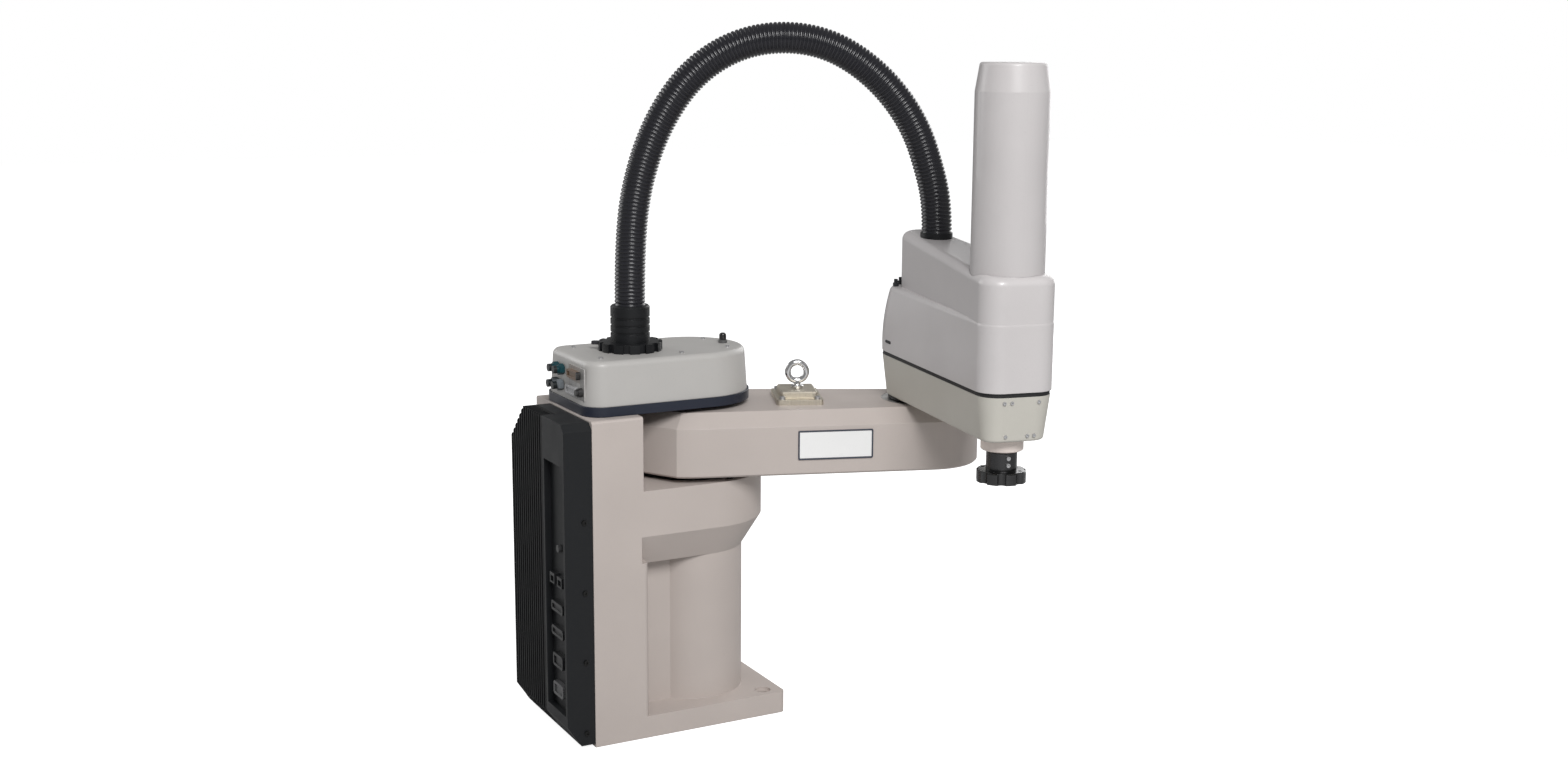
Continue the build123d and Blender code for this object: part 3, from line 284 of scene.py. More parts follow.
def paint(name, base, roughness, peel, edge_radius=0.0012, coat=0.0, specular=0.45):
    """Baked paint: slow colour drift, fine speckle, orange peel, and edges painted lighter, partly as
    worn paint and partly as a painted highlight.
    """
    shader = Shader(name, roughness, specular=specular, coat=coat)
    drift = shader.ramp(shader.noise(7.0, 3.0), 0.3, 0.7)
    body = shader.mix(drift, tint(base, 0.955), tint(base, 1.03))
    speckle = shader.ramp(shader.noise(420.0, 4.0), 0.60, 0.78, 0.0, 0.5)
    body = shader.mix(speckle, body, tint(base, 0.9))
    # Edges are painted lighter in patches: partly worn paint, partly a painted highlight along the
    # rounded edges.
    normal, edge = shader.edge(edge_radius)
    wear_and_highlight = shader.ramp(shader.noise(60.0, 5.0), 0.45, 0.75, 0.0, 0.35)
    share = math_node(shader.tree, "MULTIPLY", edge, wear_and_highlight)
    shader.colour(shader.mix(share, body, tint(base, 1.25)))
    handled = shader.noise(18.0, 6.0)
    shader.roughness(shader.ramp(handled, 0.3, 0.7, roughness - 0.05, roughness + 0.07))
    shader.bump(shader.noise(650.0, 2.0), peel, 0.5, normal)
    return shader.material


def metal(name, base, roughness, stretch, anisotropic=0.0, edge_radius=0.0005):
    """Turned, ground or anodised metal with fine tool marks along one direction."""
    shader = Shader(name, roughness, metallic=1.0)
    shader.surface.inputs["Anisotropic"].default_value = anisotropic
    marks = shader.noise(90.0, 6.0, shader.mapping(stretch))
    shader.colour(shader.mix(shader.ramp(marks, 0.3, 0.7), tint(base, 0.86), tint(base, 1.08)))
    shader.roughness(shader.ramp(marks, 0.3, 0.7, roughness - 0.06, roughness + 0.09))
    normal, _ = shader.edge(edge_radius)
    shader.bump(marks, 0.00002, 0.35, normal)
    return shader.material


def moulded(name, base, roughness, grain=900.0, specular=0.45):
    """Moulded plastic or rubber with a faint grain."""
    shader = Shader(name, roughness, specular=specular)
    cloud = shader.noise(25.0, 4.0)
    shader.colour(shader.mix(shader.ramp(cloud, 0.3, 0.7), tint(base, 0.9), tint(base, 1.12)))
    shader.roughness(shader.ramp(cloud, 0.3, 0.7, roughness - 0.04, roughness + 0.08))
    normal, _ = shader.edge(0.0005)
    shader.bump(shader.noise(grain, 3.0), 0.00003, 0.4, normal)
    return shader.material


def fine_moulding(shader):
    """Softens the edges of a small moulding and gives it a faint grain."""
    normal, _ = shader.edge(0.0004)
    shader.bump(shader.noise(700.0, 2.0), 0.00002, 0.3, normal)
    return shader.material


def lamp_lens():
    """A grey socket under a smoked lens."""
    shader = Shader("lamp_lens", 0.16, coat=0.4)
    socket, smoked, dust = (0.10, 0.10, 0.10), (0.010, 0.010, 0.011), (0.014, 0.014, 0.015)
    grain = shader.ramp(shader.noise(300.0, 3.0), 0.3, 0.7, 0.0, 0.2)
    body = shader.mix(shader.beyond("Z", LAMP_SOCKET_TOP), socket, smoked)
    shader.colour(shader.mix(grain, body, dust))
    return fine_moulding(shader)


def rear_connectors(plate_colour):
    """A painted plate with a brown shell above, a plated shell below and a black round plug."""
    shader = Shader("rear_connectors", 0.40)
    plated, brown, black = (0.42, 0.42, 0.43), (0.16, 0.095, 0.055), (0.012, 0.012, 0.013)
    dust = (0.10, 0.095, 0.09)
    grain = shader.ramp(shader.noise(240.0, 4.0), 0.3, 0.7, 0.0, 0.35)
    low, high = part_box("user_connectors")
    body = shader.mix(shader.beyond("Z", middle("user_connectors").z), plated, brown)
    body = shader.mix(shader.beyond("Y", low[1] + PLUG_WIDTH), black, body)
    body = shader.mix(shader.beyond("X", high[0] - PLATE_DEPTH), body, plate_colour)
    shader.colour(shader.mix(grain, body, dust))
    return fine_moulding(shader)


def rear_fittings():
    """Teal push-in fittings above plated ones, all with black release rings."""
    shader = Shader("rear_fittings", 0.34)
    plated, teal, black = (0.20, 0.22, 0.24), (0.003, 0.045, 0.058), (0.010, 0.011, 0.012)
    dust = (0.012, 0.030, 0.036)
    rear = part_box("air_fittings")[0][0]
    grain = shader.ramp(shader.noise(260.0, 4.0), 0.3, 0.7, 0.0, 0.3)
    body = shader.mix(shader.beyond("Z", middle("air_fittings").z), plated, teal)
    body = shader.mix(shader.beyond("X", rear + RELEASE_RING), black, body)
    shader.colour(shader.mix(grain, body, dust))
    return fine_moulding(shader)


def panel_sockets():
    """Black sockets, the lowest with plated shells."""
    shader = Shader("panel_sockets", 0.42)
    plated, black, dust = (0.12, 0.12, 0.125), (0.009, 0.0095, 0.011), (0.012, 0.012, 0.013)
    grain = shader.ramp(shader.noise(900.0, 3.0), 0.35, 0.7)
    body = shader.mix(shader.beyond("Z", PLATED_TOP), plated, black)
    shader.colour(shader.mix(grain, body, dust))
    return fine_moulding(shader)


def hose_plastic():
    """Satin black hose, dustier in its grooves."""
    shader = Shader("hose_plastic", 0.58, specular=0.36)
    black, dusty = (0.0070, 0.0078, 0.0092), (0.012, 0.012, 0.013)
    groove = shader.tree.nodes.new("ShaderNodeAttribute")
    groove.attribute_name = "groove"
    dust = shader.ramp(groove.outputs["Fac"], 0.35, 1.0, 0.0, 0.55)
    shader.colour(shader.mix(dust, black, dusty))
    patches = shader.ramp(shader.noise(45.0, 5.0), 0.35, 0.7, 0.50, 0.68)
    shader.roughness(patches)
    shader.bump(shader.noise(500.0, 3.0), 0.00003, 0.35)
    return shader.material


def board_green():
    """Circuit board: solder mask with paler tracks."""
    shader = Shader("board_green", 0.35)
    track, mask = (0.10, 0.30, 0.12), (0.015, 0.10, 0.04)
    tracks = shader.tree.nodes.new("ShaderNodeTexVoronoi")
    tracks.feature = "DISTANCE_TO_EDGE"
    tracks.inputs["Scale"].default_value = 160.0
    shader.link(shader.mapping((1.0, 1.0, 0.3)), tracks.inputs["Vector"])
    line = shader.ramp(tracks.outputs["Distance"], 0.02, 0.05)
    shader.colour(shader.mix(line, track, mask))
    shader.bump(line, 0.00005, 0.3)
    return shader.material


def finishes(settings):
    """Every finish of the record, by its material slot."""
    peel = settings.peel
    return {
        "casting_paint": paint("casting_paint", settings.casting, 0.44, peel),
        "cover_paint": paint("cover_paint", settings.cover, 0.38, peel),
        "arm_paint": paint("arm_paint", settings.arm, 0.34, peel, coat=0.15),
        "band_paint": paint("band_paint", settings.band, 0.40, peel),
        "chassis_black": paint("chassis_black", settings.chassis, 0.50, peel, specular=0.28),
        "plate_white": paint("plate_white", (0.82, 0.82, 0.815), 0.30, 0.00002, 0.0004),
        "plate_frame": paint("plate_frame", (0.05, 0.055, 0.075), 0.36, 0.00002, 0.0004),
        "black_anodised": metal("black_anodised", (0.022, 0.022, 0.024), 0.42, TURNING),
        "machined": metal("machined", (0.74, 0.73, 0.71), 0.33, TURNING, anisotropic=0.4),
        "steel": metal("steel", (0.56, 0.56, 0.57), 0.30, TURNING, anisotropic=0.3),
        "bright_steel": metal("bright_steel", (0.58, 0.57, 0.56), 0.20, (30.0, 30.0, 2.0)),
        "lift_brass": metal("lift_brass", (0.58, 0.535, 0.455), 0.52, (14.0, 1.0, 1.0)),
        "black_steel": metal("black_steel", (0.03, 0.03, 0.032), 0.38, (14.0, 14.0, 14.0)),
        "gland_plastic": moulded("gland_plastic", (0.007, 0.0076, 0.009), 0.42, specular=0.32),
        "rubber": moulded("rubber", (0.012, 0.012, 0.013), 0.62, grain=500.0),
        "button_grey": moulded("button_grey", (0.05, 0.05, 0.052), 0.40),
        "fitting_teal": rear_fittings(),
        "connector_mix": panel_sockets(),
        "board_green": board_green(),
        "lamp_lens": lamp_lens(),
        "conduit_plastic": hose_plastic(),
    }


# ---- mesh helpers ---------------------------------------------------------------------------

def new_tree(name, inputs):
    """A geometry tree with a Geometry input and output and the named inputs between."""
    tree = bpy.data.node_groups.new(name, "GeometryNodeTree")
    tree.interface.new_socket("Geometry", in_out="OUTPUT", socket_type="NodeSocketGeometry")
    tree.interface.new_socket("Geometry", in_out="INPUT", socket_type="NodeSocketGeometry")
    for label, kind in inputs:
        tree.interface.new_socket(label, in_out="INPUT", socket_type=kind)
    return tree, tree.nodes.new("NodeGroupInput"), tree.nodes.new("NodeGroupOutput")


def coat_geometry(tree, made, source, target):
    """Ends a tree: makes its instances real and gives them the material input."""
    real = tree.nodes.new("GeometryNodeRealizeInstances")
    tree.links.new(made, real.inputs["Geometry"])
    coated = tree.nodes.new("GeometryNodeSetMaterial")
    tree.links.new(real.outputs["Geometry"], coated.inputs["Geometry"])
    tree.links.new(source.outputs["Material"], coated.inputs["Material"])
    tree.links.new(coated.outputs["Geometry"], target.inputs["Geometry"])


def math_node(tree, operation, first, second=None):
    node = tree.nodes.new("ShaderNodeMath")
    node.operation = operation
    for socket, value in zip(node.inputs, (first, second)):
        if value is None:
            continue
        if isinstance(value, (int, float)):
            socket.default_value = value
        else:
            tree.links.new(value, socket)
    return node.outputs["Value"]


def corrugation_tree():
    """Sweeps a line into a ringed hose: a round crest and a narrow groove in each pitch."""
    tree, source, target = new_tree("corrugated_hose", (
        ("Diameter", "NodeSocketFloat"), ("Rings", "NodeSocketInt"), ("Depth", "NodeSocketFloat"),
        ("Sides", "NodeSocketInt"), ("Material", "NodeSocketMaterial")))
    nodes, links = tree.nodes, tree.links
    curve = nodes.new("GeometryNodeMeshToCurve")
    links.new(source.outputs["Geometry"], curve.inputs["Mesh"])
    steps = math_node(tree, "MULTIPLY", source.outputs["Rings"], STEPS_PER_RING)
    even = nodes.new("GeometryNodeResampleCurve")
    even.mode = "COUNT"
    links.new(curve.outputs["Curve"], even.inputs["Curve"])
    links.new(math_node(tree, "ADD", steps, 1.0), even.inputs["Count"])
    along = nodes.new("GeometryNodeSplineParameter")
    turns = math_node(tree, "MULTIPLY", along.outputs["Factor"], source.outputs["Rings"])
    phase = math_node(tree, "FRACT", math_node(tree, "ADD", turns, RING_START))
    away = math_node(tree, "ABSOLUTE", math_node(
        tree, "SUBTRACT", math_node(tree, "MULTIPLY", phase, 2.0), 1.0))
    groove = math_node(tree, "POWER", away, GROOVE_POWER)
    cut = math_node(tree, "MULTIPLY", groove, source.outputs["Depth"])
    outside = math_node(tree, "MULTIPLY", source.outputs["Diameter"], 0.5)
    radius = math_node(tree, "SUBTRACT", outside, cut)
    marked = nodes.new("GeometryNodeStoreNamedAttribute")
    marked.data_type = "FLOAT"
    marked.domain = "POINT"
    marked.inputs["Name"].default_value = "groove"
    links.new(even.outputs["Curve"], marked.inputs["Geometry"])
    links.new(groove, marked.inputs["Value"])
    profile = nodes.new("GeometryNodeCurvePrimitiveCircle")
    profile.inputs["Radius"].default_value = 1.0
    links.new(source.outputs["Sides"], profile.inputs["Resolution"])
    tube = nodes.new("GeometryNodeCurveToMesh")
    tube.inputs["Fill Caps"].default_value = True
    links.new(marked.outputs["Geometry"], tube.inputs["Curve"])
    links.new(profile.outputs["Curve"], tube.inputs["Profile Curve"])
    links.new(radius, tube.inputs["Scale"])
    coat_geometry(tree, tube.outputs["Mesh"], source, target)
    return tree


def grown(base, tree, values):
    """The plain mesh that a geometry tree makes from a base object, which is removed."""
    modifier = base.modifiers.new("grow", "NODES")
    modifier.node_group = tree
    sockets = {s.name: s.identifier for s in tree.interface.items_tree if s.in_out == "INPUT"}
    for label, value in values.items():
        modifier[sockets[label]] = value
    bpy.context.view_layer.update()
    evaluated = base.evaluated_get(bpy.context.evaluated_depsgraph_get())
    mesh = bpy.data.meshes.new_from_object(evaluated)
    bpy.data.objects.remove(base)
    return mesh


def add_object(name, data):
    made = bpy.data.objects.new(name, data)
    bpy.context.scene.collection.objects.link(made)
    return made


def line_object(name, points):
    mesh = bpy.data.meshes.new(name)
    mesh.from_pydata(points, [(i, i + 1) for i in range(len(points) - 1)], [])
    return add_object(name, mesh)


def screw_tree():
    """Puts a hex-socket screw head on every point, turned to the point's facing attribute."""
    tree, source, target = new_tree("socket_screws", (
        ("Radius", "NodeSocketFloat"), ("Height", "NodeSocketFloat"), ("Sides", "NodeSocketInt"),
        ("Material", "NodeSocketMaterial")))
    nodes, links = tree.nodes, tree.links
    head = nodes.new("GeometryNodeMeshCylinder")
    links.new(source.outputs["Sides"], head.inputs["Vertices"])
    links.new(source.outputs["Radius"], head.inputs["Radius"])
    links.new(source.outputs["Height"], head.inputs["Depth"])
    socket = nodes.new("GeometryNodeMeshCylinder")
    socket.inputs["Vertices"].default_value = HEX_SIDES
    socket_radius = math_node(tree, "MULTIPLY", source.outputs["Radius"], SOCKET_RADIUS)
    links.new(socket_radius, socket.inputs["Radius"])
    links.new(source.outputs["Height"], socket.inputs["Depth"])
    raised = nodes.new("GeometryNodeTransform")
    lift = nodes.new("ShaderNodeCombineXYZ")
    links.new(math_node(tree, "MULTIPLY", source.outputs["Height"], SOCKET_RISE), lift.inputs["Z"])
    links.new(socket.outputs["Mesh"], raised.inputs["Geometry"])
    links.new(lift.outputs["Vector"], raised.inputs["Translation"])
    cut = nodes.new("GeometryNodeMeshBoolean")
    cut.operation = "DIFFERENCE"
    links.new(head.outputs["Mesh"], cut.inputs["Mesh 1"])
    links.new(raised.outputs["Geometry"], cut.inputs["Mesh 2"])
    facing = nodes.new("GeometryNodeInputNamedAttribute")
    facing.data_type = "FLOAT_VECTOR"
    facing.inputs["Name"].default_value = "facing"
    turn = nodes.new("FunctionNodeAlignRotationToVector")
    turn.axis = "Z"
    links.new(facing.outputs["Attribute"], turn.inputs["Vector"])
    heads = nodes.new("GeometryNodeInstanceOnPoints")
    links.new(source.outputs["Geometry"], heads.inputs["Points"])
    links.new(cut.outputs["Mesh"], heads.inputs["Instance"])
    links.new(turn.outputs["Rotation"], heads.inputs["Rotation"])
    coat_geometry(tree, heads.outputs["Instances"], source, target)
    return tree


def separate_solids(node):
    """The corners of each separate solid of a node, with its faces' normals and areas."""
    merged = bmesh.new()
    merged.from_mesh(frame["nodes"][node].data)
    bmesh.ops.remove_doubles(merged, verts=merged.verts, dist=MERGE_DISTANCE)
    seen = set()
    solids = []
    for first in merged.verts:
        if first in seen:
            continue
        seen.add(first)
        group = [first]
        for vertex in group:
            for edge in vertex.link_edges:
                other = edge.other_vert(vertex)
                if other not in seen:
                    seen.add(other)
                    group.append(other)
        faces = {face.index: face for vertex in group for face in vertex.link_faces}
        flats = [(face.normal.copy(), face.calc_area()) for face in faces.values()]
        solids.append(([vertex.co.copy() for vertex in group], flats))
    merged.free()
    return solids


def screw_heads(node, inside):
    """The centre, outward direction, radius and height of each screw head in a node."""
    heads = []
    for corners, flats in separate_solids(node):
        centre = sum(corners, Vector()) / len(corners)
        area = {}
        for normal, size in flats:
            key = tuple(round(abs(value), 2) for value in normal)
            total, first = area.get(key, (0.0, normal))
            area[key] = (total + size, first)
        facing = max(area.values(), key=lambda entry: entry[0])[1]
        if facing.dot(centre - inside) < 0:
            facing = -facing
        heights = [facing.dot(corner - centre) for corner in corners]
        radius = max(
            (corner - centre - facing * rise).length for corner, rise in zip(corners, heights))
        heads.append((centre, facing, radius, max(heights) - min(heights)))
    return heads


def facing_points(name, heads):
    """A point at the middle of each screw head, with its outward direction as an attribute."""
    mesh = bpy.data.meshes.new(name)
    mesh.from_pydata([head[0] for head in heads], [], [])
    attribute = mesh.attributes.new("facing", "FLOAT_VECTOR", "POINT")
    attribute.data.foreach_set("vector", [value for head in heads for value in head[1]])
    return add_object(name, mesh)


def middle(node):
    """The middle of a node's box."""
    low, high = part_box(node)
    return Vector([(a + b) / 2 for a, b in zip(low, high)])


def turned(profile, sides, centre):
    """A closed solid of revolution about an upright axis, from (radius, height) pairs."""
    made = bmesh.new()
    rings = []
    for radius, height in profile:
        if radius == 0.0:
            rings.append([made.verts.new(centre + Vector((0.0, 0.0, height)))])
            continue
        rings.append([made.verts.new(centre + Vector((
            radius * math.cos(math.tau * k / sides), radius * math.sin(math.tau * k / sides), height)))
            for k in range(sides)])
    for low, high in zip(rings, rings[1:]):
        for k in range(sides):
            after = (k + 1) % sides
            corners = [low[k % len(low)], low[after % len(low)],
                       high[after % len(high)], high[k % len(high)]]
            made.faces.new(list(dict.fromkeys(corners)))
    return made


def plain_finish(slot):
    """The frame's own plain material of a slot, not the finish that this script makes for it."""
    return bpy.data.materials[slot]


def finished_piece(name, made, slot):
    """An object from a built-up solid, in the plain finish of its slot."""
    mesh = bpy.data.meshes.new(name)
    made.to_mesh(mesh)
    made.free()
    mesh.materials.append(plain_finish(slot))
    return add_object(name, mesh)


def add_ring(made, centre, along):
    """Adds the lifting eye's round ring, which stands upright along a level direction."""
    upright = Vector((0.0, 0.0, 1.0))
    side = along.cross(upright)
    rings = []
    for i in range(EYE_STEPS):
        turn = math.tau * i / EYE_STEPS
        out = along * math.cos(turn) + upright * math.sin(turn)
        ring = []
        for j in range(EYE_SIDES):
            lean = math.tau * j / EYE_SIDES
            place = centre + out * (EYE_RING + EYE_WIRE * math.cos(lean))
            ring.append(made.verts.new(place + side * EYE_WIRE * math.sin(lean)))
        rings.append(ring)
    for i in range(EYE_STEPS):
        near, far = rings[i], rings[(i + 1) % EYE_STEPS]
        for j in range(EYE_SIDES):
            after = (j + 1) % EYE_SIDES
            made.faces.new((near[j], near[after], far[after], far[j]))


def rounded_slab(centre, along, across, size):
    """A closed slab with round ends and chamfered rims, of a length, a width and a thickness."""
    run, width, thickness = size
    up = along.cross(across)
    made = bmesh.new()
    rings = []
    for inset, height in (
            (SLAB_CHAMFER, -thickness / 2), (0.0, SLAB_CHAMFER - thickness / 2),
            (0.0, thickness / 2 - SLAB_CHAMFER), (SLAB_CHAMFER, thickness / 2)):
        radius = width / 2 - inset
        ring = []
        for k in range(2 * SLAB_SIDES):
            turn = math.pi * ((k + 0.5) / SLAB_SIDES - 0.5)
            end = (run - width) / 2 if k < SLAB_SIDES else (width - run) / 2
            ring.append(made.verts.new(
                centre + along * (end + radius * math.cos(turn))
                + across * radius * math.sin(turn) + up * height))
        rings.append(ring)
    for low, high in zip(rings, rings[1:]):
        for k in range(len(low)):
            after = (k + 1) % len(low)
            made.faces.new((low[k], low[after], high[after], high[k]))
    made.faces.new(rings[0])
    made.faces.new(rings[-1])
    bmesh.ops.recalc_face_normals(made, faces=made.faces)
    return made


def hose_line():
    """Points read from the hose's NURBS route."""
    curve = bpy.data.curves.new("hose_route", "CURVE")
    curve.dimensions = "3D"
    spline = curve.splines.new("NURBS")
    spline.points.add(len(HOSE_ROUTE) - 1)
    for point, (distance, height) in zip(spline.points, HOSE_ROUTE):
        place = HOSE_FOOT + HOSE_HEADING * distance + Vector((0.0, 0.0, height))
        point.co = (*place, 1.0)
    spline.order_u = ROUTE_ORDER
    spline.use_endpoint_u = True
    curve.resolution_u = ROUTE_STEPS
    route = add_object("hose_route", curve)
    bpy.context.view_layer.update()
    evaluated = route.evaluated_get(bpy.context.evaluated_depsgraph_get())
    mesh = bpy.data.meshes.new_from_object(evaluated)
    points = [vertex.co.copy() for vertex in mesh.vertices]
    bpy.data.objects.remove(route)
    return points


def run_length(points):
    return sum((b - a).length for a, b in zip(points, points[1:]))


# ---- operators ------------------------------------------------------------------------------

class ROBOT_OT_finish_parts(bpy.types.Operator):
    """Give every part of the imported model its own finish"""

    bl_idname = "robot.finish_parts"
    bl_label = "Finish the parts"

    def execute(self, context):
        settings = context.scene.robot_paint
        made = finishes(settings)
        slots = {row["node"]: row["material_slot"] for row in frame["record"]["subparts"]}
        peel = settings.peel
        cast = [share * value for share, value in zip(CAST_TINT, settings.arm)]
        # The nose collar gets the casting paint made 1.75 times lighter: painted light on a collar
        # that sits in shadow under the nose.
        collar, quill, sink = (tint(base, factor) for base, factor in (
            (settings.casting, 1.75), (settings.arm, 0.93), (settings.chassis, 0.5)))
        special = {
            "user_connectors": rear_connectors(settings.cover),
            "outer_link_casting": paint("cast_arm_paint", cast, 0.44, peel),
            "outer_cover": made["arm_paint"],
            "quill_cover": paint("quill_paint", quill, 0.34, peel, coat=0.15),
            # Lightened casting paint on the collar: painted light where the collar is in shadow.
            "nose_collar": paint("collar_paint", collar, 0.40, peel),
            "heat_sink": moulded("sink_black", sink, 0.55, grain=700.0, specular=0.2),
            # The second joint's hub gets black steel as painted shade: it stands in for the shadowed
            # gap between the links, not the hub's own machined finish.
            "j2_output_hub": made["black_steel"],
            "arm_air_fittings": moulded("arm_fitting_black", (0.010, 0.012, 0.014), 0.34),
            "tool_flange": metal("flange_black", (0.080, 0.080, 0.082), 0.24, TURNING),
        }
        for name, part in frame["nodes"].items():
            part.data.materials.clear()
            part.data.materials.append(special.get(name) or made[slots[name]])
        return {"FINISHED"}


class ROBOT_OT_screws(bpy.types.Operator):
    """Put socket-head screws on the chassis, covers, lifting block, nose and flange"""

    bl_idname = "robot.screws"
    bl_label = "Screws"

    def execute(self, context):
        tree = screw_tree()
        base = Vector()
        quill = middle("quill_shaft")
        for node, body, inside, slot in (
                ("chassis_screws", "base", base, "black_steel"),
                ("cover_screws", "base", base, "steel"),
                ("lifting_screws", "inner_link", base, "steel"),
                ("nose_screws", "outer_link", Vector((quill.x, quill.y, NOSE_MIDDLE)), "steel"),
                ("flange_clamp_screws", "quill", Vector((quill.x, quill.y, CLAMP_MIDDLE)), "steel")):
            heads = screw_heads(node, inside)
            mesh = grown(facing_points(node + "_points", heads), tree, {
                "Radius": heads[0][2], "Height": heads[0][3],
                "Sides": context.scene.robot_screws.sides, "Material": plain_finish(slot)})
            piece = add_object(node.replace("screws", "socket_screws"), mesh)
            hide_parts(node)
            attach(piece, body)
        return {"FINISHED"}


class ROBOT_OT_lifting_eye(bpy.types.Operator):
    """Forge the round lifting eye with its neck and collar"""

    bl_idname = "robot.lifting_eye"
    bl_label = "Lifting eye"

    def execute(self, context):
        low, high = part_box("eyebolt")
        foot = middle("eyebolt")
        foot.z = low[2]
        ring_centre = high[2] - low[2] - EYE_RING - EYE_WIRE
        neck_top = ring_centre - EYE_RING
        made = turned([*EYE_COLLAR, (EYE_NECK, neck_top), (0.0, neck_top)], EYE_NECK_SIDES, foot)
        along = middle("j2_reducer")
        along = Vector((along.x, along.y, 0.0)).normalized()
        add_ring(made, foot + Vector((0.0, 0.0, ring_centre)), along)
        bmesh.ops.recalc_face_normals(made, faces=made.faces)
        for edge in made.edges:
            edge.smooth = edge.calc_face_angle(0.0) < SHARP_ANGLE
        eye = finished_piece("lifting_eye", made, "bright_steel")
        eye.data.polygons.foreach_set("use_smooth", [True] * len(eye.data.polygons))
        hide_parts("eyebolt")
        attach(eye, "inner_link")
        return {"FINISHED"}


class ROBOT_OT_small_trims(bpy.types.Operator):
    """Fit the ring nut's lever and the plug in the side of the outer cover"""

    bl_idname = "robot.small_trims"
    bl_label = "Lever and plug"

    def execute(self, context):
        low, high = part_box("gland_ring_nut")
        root = middle("gland_ring_nut")
        lever_place = root + LEVER_HEADING * (high[1] - low[1]) / 2
        lever_place.z = high[2] - LEVER_SIZE[2] / 2 - SLAB_CHAMFER
        upright = Vector((0.0, 0.0, 1.0))
        for name, body, place, along, across, size in (
                ("ring_nut_lever", "base", lever_place, LEVER_HEADING,
                 LEVER_HEADING.cross(upright), LEVER_SIZE),
                ("cover_side_plug", "outer_link", PLUG_PLACE, PLUG_HEADING, upright, PLUG_SIZE)):
            made = rounded_slab(place, along.normalized(), across.normalized(), size)
            trim = finished_piece(name, made, "gland_plastic")
            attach(trim, body)
        return {"FINISHED"}


class ROBOT_OT_harness_hose(bpy.types.Operator):
    """Build the corrugated harness hose in two halves that meet at its crown"""

    bl_idname = "robot.harness_hose"
    bl_label = "Harness hose"

    def execute(self, context):
        settings = context.scene.robot_hose
        line = hose_line()
        crown = max(range(len(line)), key=lambda i: line[i].z)
        tree = corrugation_tree()
        rear, front = line[:crown + 1], line[crown:]
        for name, points, bodies in (
                ("hose_rear_half", rear, ("base", "inner_link")),
                ("hose_front_half", front, ("inner_link", "outer_link"))):
            share = run_length(points)
            mesh = grown(line_object(name + "_line", points), tree, {
                "Diameter": settings.diameter, "Rings": round(share / settings.pitch),
                "Depth": settings.depth, "Sides": settings.sides,
                "Material": plain_finish("conduit_plastic")})
            for face in mesh.polygons:
                face.use_smooth = len(face.vertices) <= 4
            half = add_object(name, mesh)
            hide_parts("harness_conduit")
            if bodies[0] == "base":
                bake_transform(half)
            else:
                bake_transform(half)
        return {"FINISHED"}


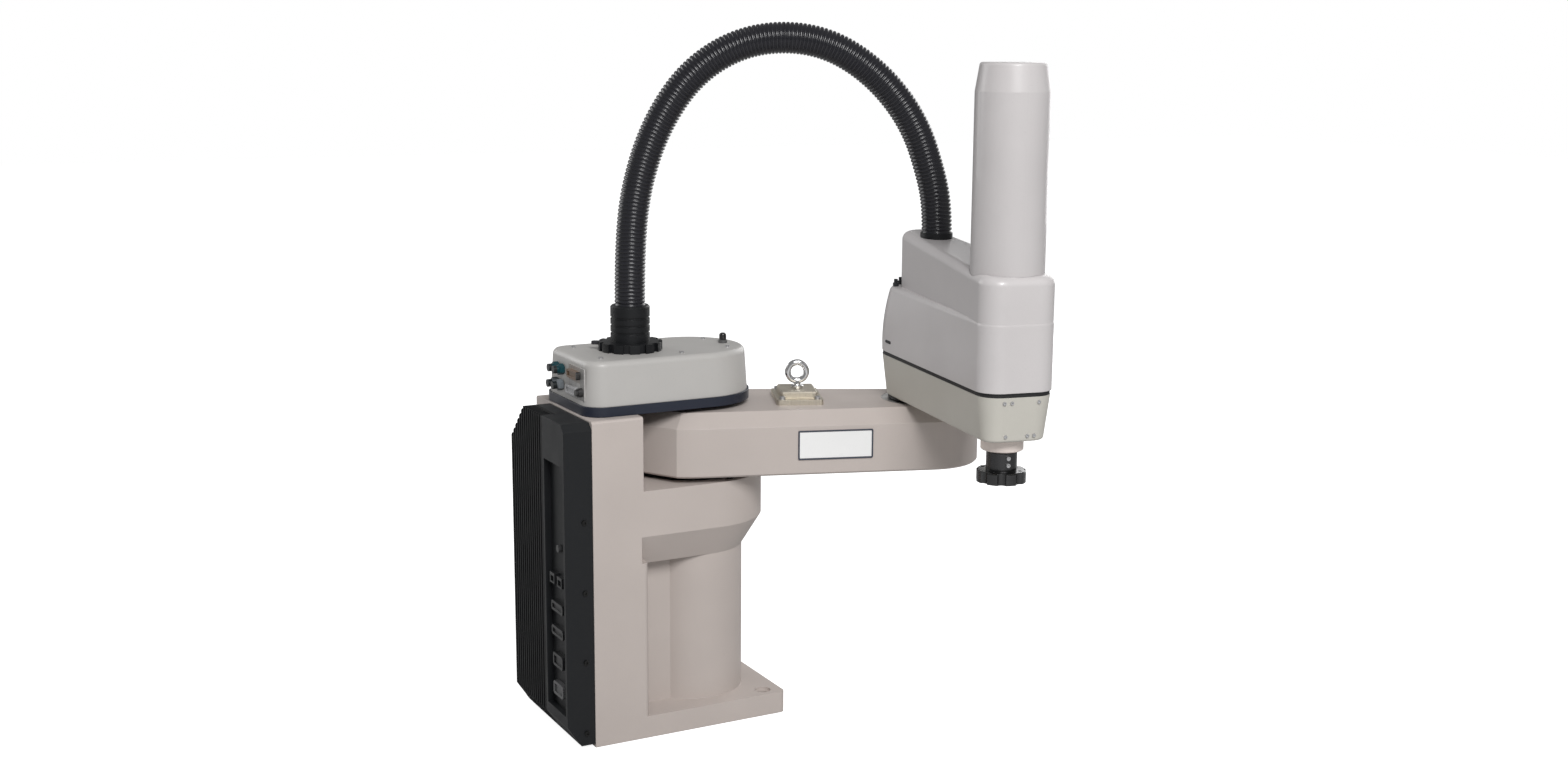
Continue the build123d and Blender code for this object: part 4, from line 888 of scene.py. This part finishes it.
class ROBOT_OT_studio(bpy.types.Operator):
    """Set the plain floor, the soft lights and the camera"""

    bl_idname = "robot.studio"
    bl_label = "Studio"

    def execute(self, context):
        settings = context.scene.robot_studio
        scene = context.scene
        floor_mesh = bpy.data.meshes.new("floor")
        corners = [(x * FLOOR_REACH, y * FLOOR_REACH, FLOOR_LEVEL)
                   for x, y in ((-1, -1), (1, -1), (1, 1), (-1, 1))]
        floor_mesh.from_pydata(corners, [], [(0, 1, 2, 3)])
        floor = add_object("floor", floor_mesh)
        shader = Shader("floor_white", 0.7, specular=0.1)
        shader.surface.inputs["Base Color"].default_value = (*settings.floor, 1.0)
        shader.surface.inputs["Emission Color"].default_value = (1.0, 1.0, 1.0, 1.0)
        path = shader.tree.nodes.new("ShaderNodeLightPath")
        glow = math_node(shader.tree, "MULTIPLY", path.outputs["Is Camera Ray"], settings.glow)
        shader.link(glow, shader.surface.inputs["Emission Strength"])
        floor_mesh.materials.append(shader.material)
        scene.world = self.room(settings)
        scene.view_settings.view_transform = "Standard"
        for name, power, size, place in (
                ("key_softbox", settings.key, KEY_SIZE, KEY_PLACE),
                ("rear_softbox", settings.fill, FILL_SIZE, REAR_PLACE),
                ("side_softbox", settings.fill, FILL_SIZE, SIDE_PLACE)):
            light = bpy.data.lights.new(name, "AREA")
            light.energy = power
            light.size = size
            lamp = add_object(name, light)
            lamp.location = place
            lamp.rotation_mode = "QUATERNION"
            lamp.rotation_quaternion = (LIGHT_AIM - Vector(place)).to_track_quat("-Z", "Y")
        self.camera(scene, settings)
        return {"FINISHED"}

    def room(self, settings):
        """A white backdrop for the camera and a dimmer white room as light."""
        world = bpy.data.worlds.new("room")
        world.use_nodes = True
        nodes, links = world.node_tree.nodes, world.node_tree.links
        lit = nodes["Background"]
        lit.inputs["Color"].default_value = (1.0, 1.0, 1.0, 1.0)
        lit.inputs["Strength"].default_value = settings.sky
        seen = nodes.new("ShaderNodeBackground")
        seen.inputs["Color"].default_value = (1.0, 1.0, 1.0, 1.0)
        seen.inputs["Strength"].default_value = 1.0
        path = nodes.new("ShaderNodeLightPath")
        either = nodes.new("ShaderNodeMixShader")
        links.new(path.outputs["Is Camera Ray"], either.inputs["Fac"])
        links.new(lit.outputs["Background"], either.inputs[1])
        links.new(seen.outputs["Background"], either.inputs[2])
        links.new(either.outputs["Shader"], nodes["World Output"].inputs["Surface"])
        return world

    def camera(self, scene, settings):
        """The camera, from its place, azimuth, elevation and roll."""
        azimuth, elevation, roll = (math.radians(angle) for angle in CAMERA_ANGLES)
        back = Vector((math.sin(azimuth) * math.cos(elevation),
                       -math.cos(azimuth) * math.cos(elevation), math.sin(elevation)))
        right = Vector((math.cos(azimuth), math.sin(azimuth), 0.0))
        up = right.cross(-back)
        rolled_right = right * math.cos(roll) + up * math.sin(roll)
        rolled_up = up * math.cos(roll) - right * math.sin(roll)
        data = bpy.data.cameras.new("camera")
        data.sensor_fit = "HORIZONTAL"
        data.sensor_width = SENSOR_WIDTH
        data.lens = settings.lens
        data.clip_start = NEAREST
        data.clip_end = FARTHEST
        camera = add_object("camera", data)
        camera.matrix_world = Matrix.Translation(CAMERA_PLACE) @ Matrix(
            (rolled_right, rolled_up, back)).transposed().to_4x4()
        scene.camera = camera


class ROBOT_PT_sidebar(bpy.types.Panel):
    """Sizes, colours and builders of the robot"""

    bl_idname = "ROBOT_PT_sidebar"
    bl_label = "Bench robot"
    bl_space_type = "VIEW_3D"
    bl_region_type = "UI"
    bl_category = "Robot"

    def draw(self, context):
        for group in GROUPS:
            settings = getattr(context.scene, group)
            for name in type(settings).__annotations__:
                self.layout.prop(settings, name)
        for operator in OPERATORS:
            self.layout.operator(operator.bl_idname)


GROUPS = {"robot_paint": PaintSettings, "robot_hose": HoseSettings,
          "robot_screws": ScrewSettings, "robot_studio": StudioSettings}
OPERATORS = (
    ROBOT_OT_finish_parts, ROBOT_OT_screws, ROBOT_OT_lifting_eye, ROBOT_OT_small_trims,
    ROBOT_OT_harness_hose, ROBOT_OT_studio)


def register():
    for kind in (*GROUPS.values(), *OPERATORS, ROBOT_PT_sidebar):
        bpy.utils.register_class(kind)
    for name, kind in GROUPS.items():
        setattr(bpy.types.Scene, name, PointerProperty(type=kind))


def unregister():
    for name in GROUPS:
        delattr(bpy.types.Scene, name)
    for kind in (ROBOT_PT_sidebar, *reversed(OPERATORS), *GROUPS.values()):
        bpy.utils.unregister_class(kind)


def main():
    register()
    bpy.ops.robot.finish_parts()
    bpy.ops.robot.screws()
    bpy.ops.robot.lifting_eye()
    bpy.ops.robot.small_trims()
    bpy.ops.robot.harness_hose()
    bpy.ops.robot.studio()


if __name__ == "__main__":
    main()
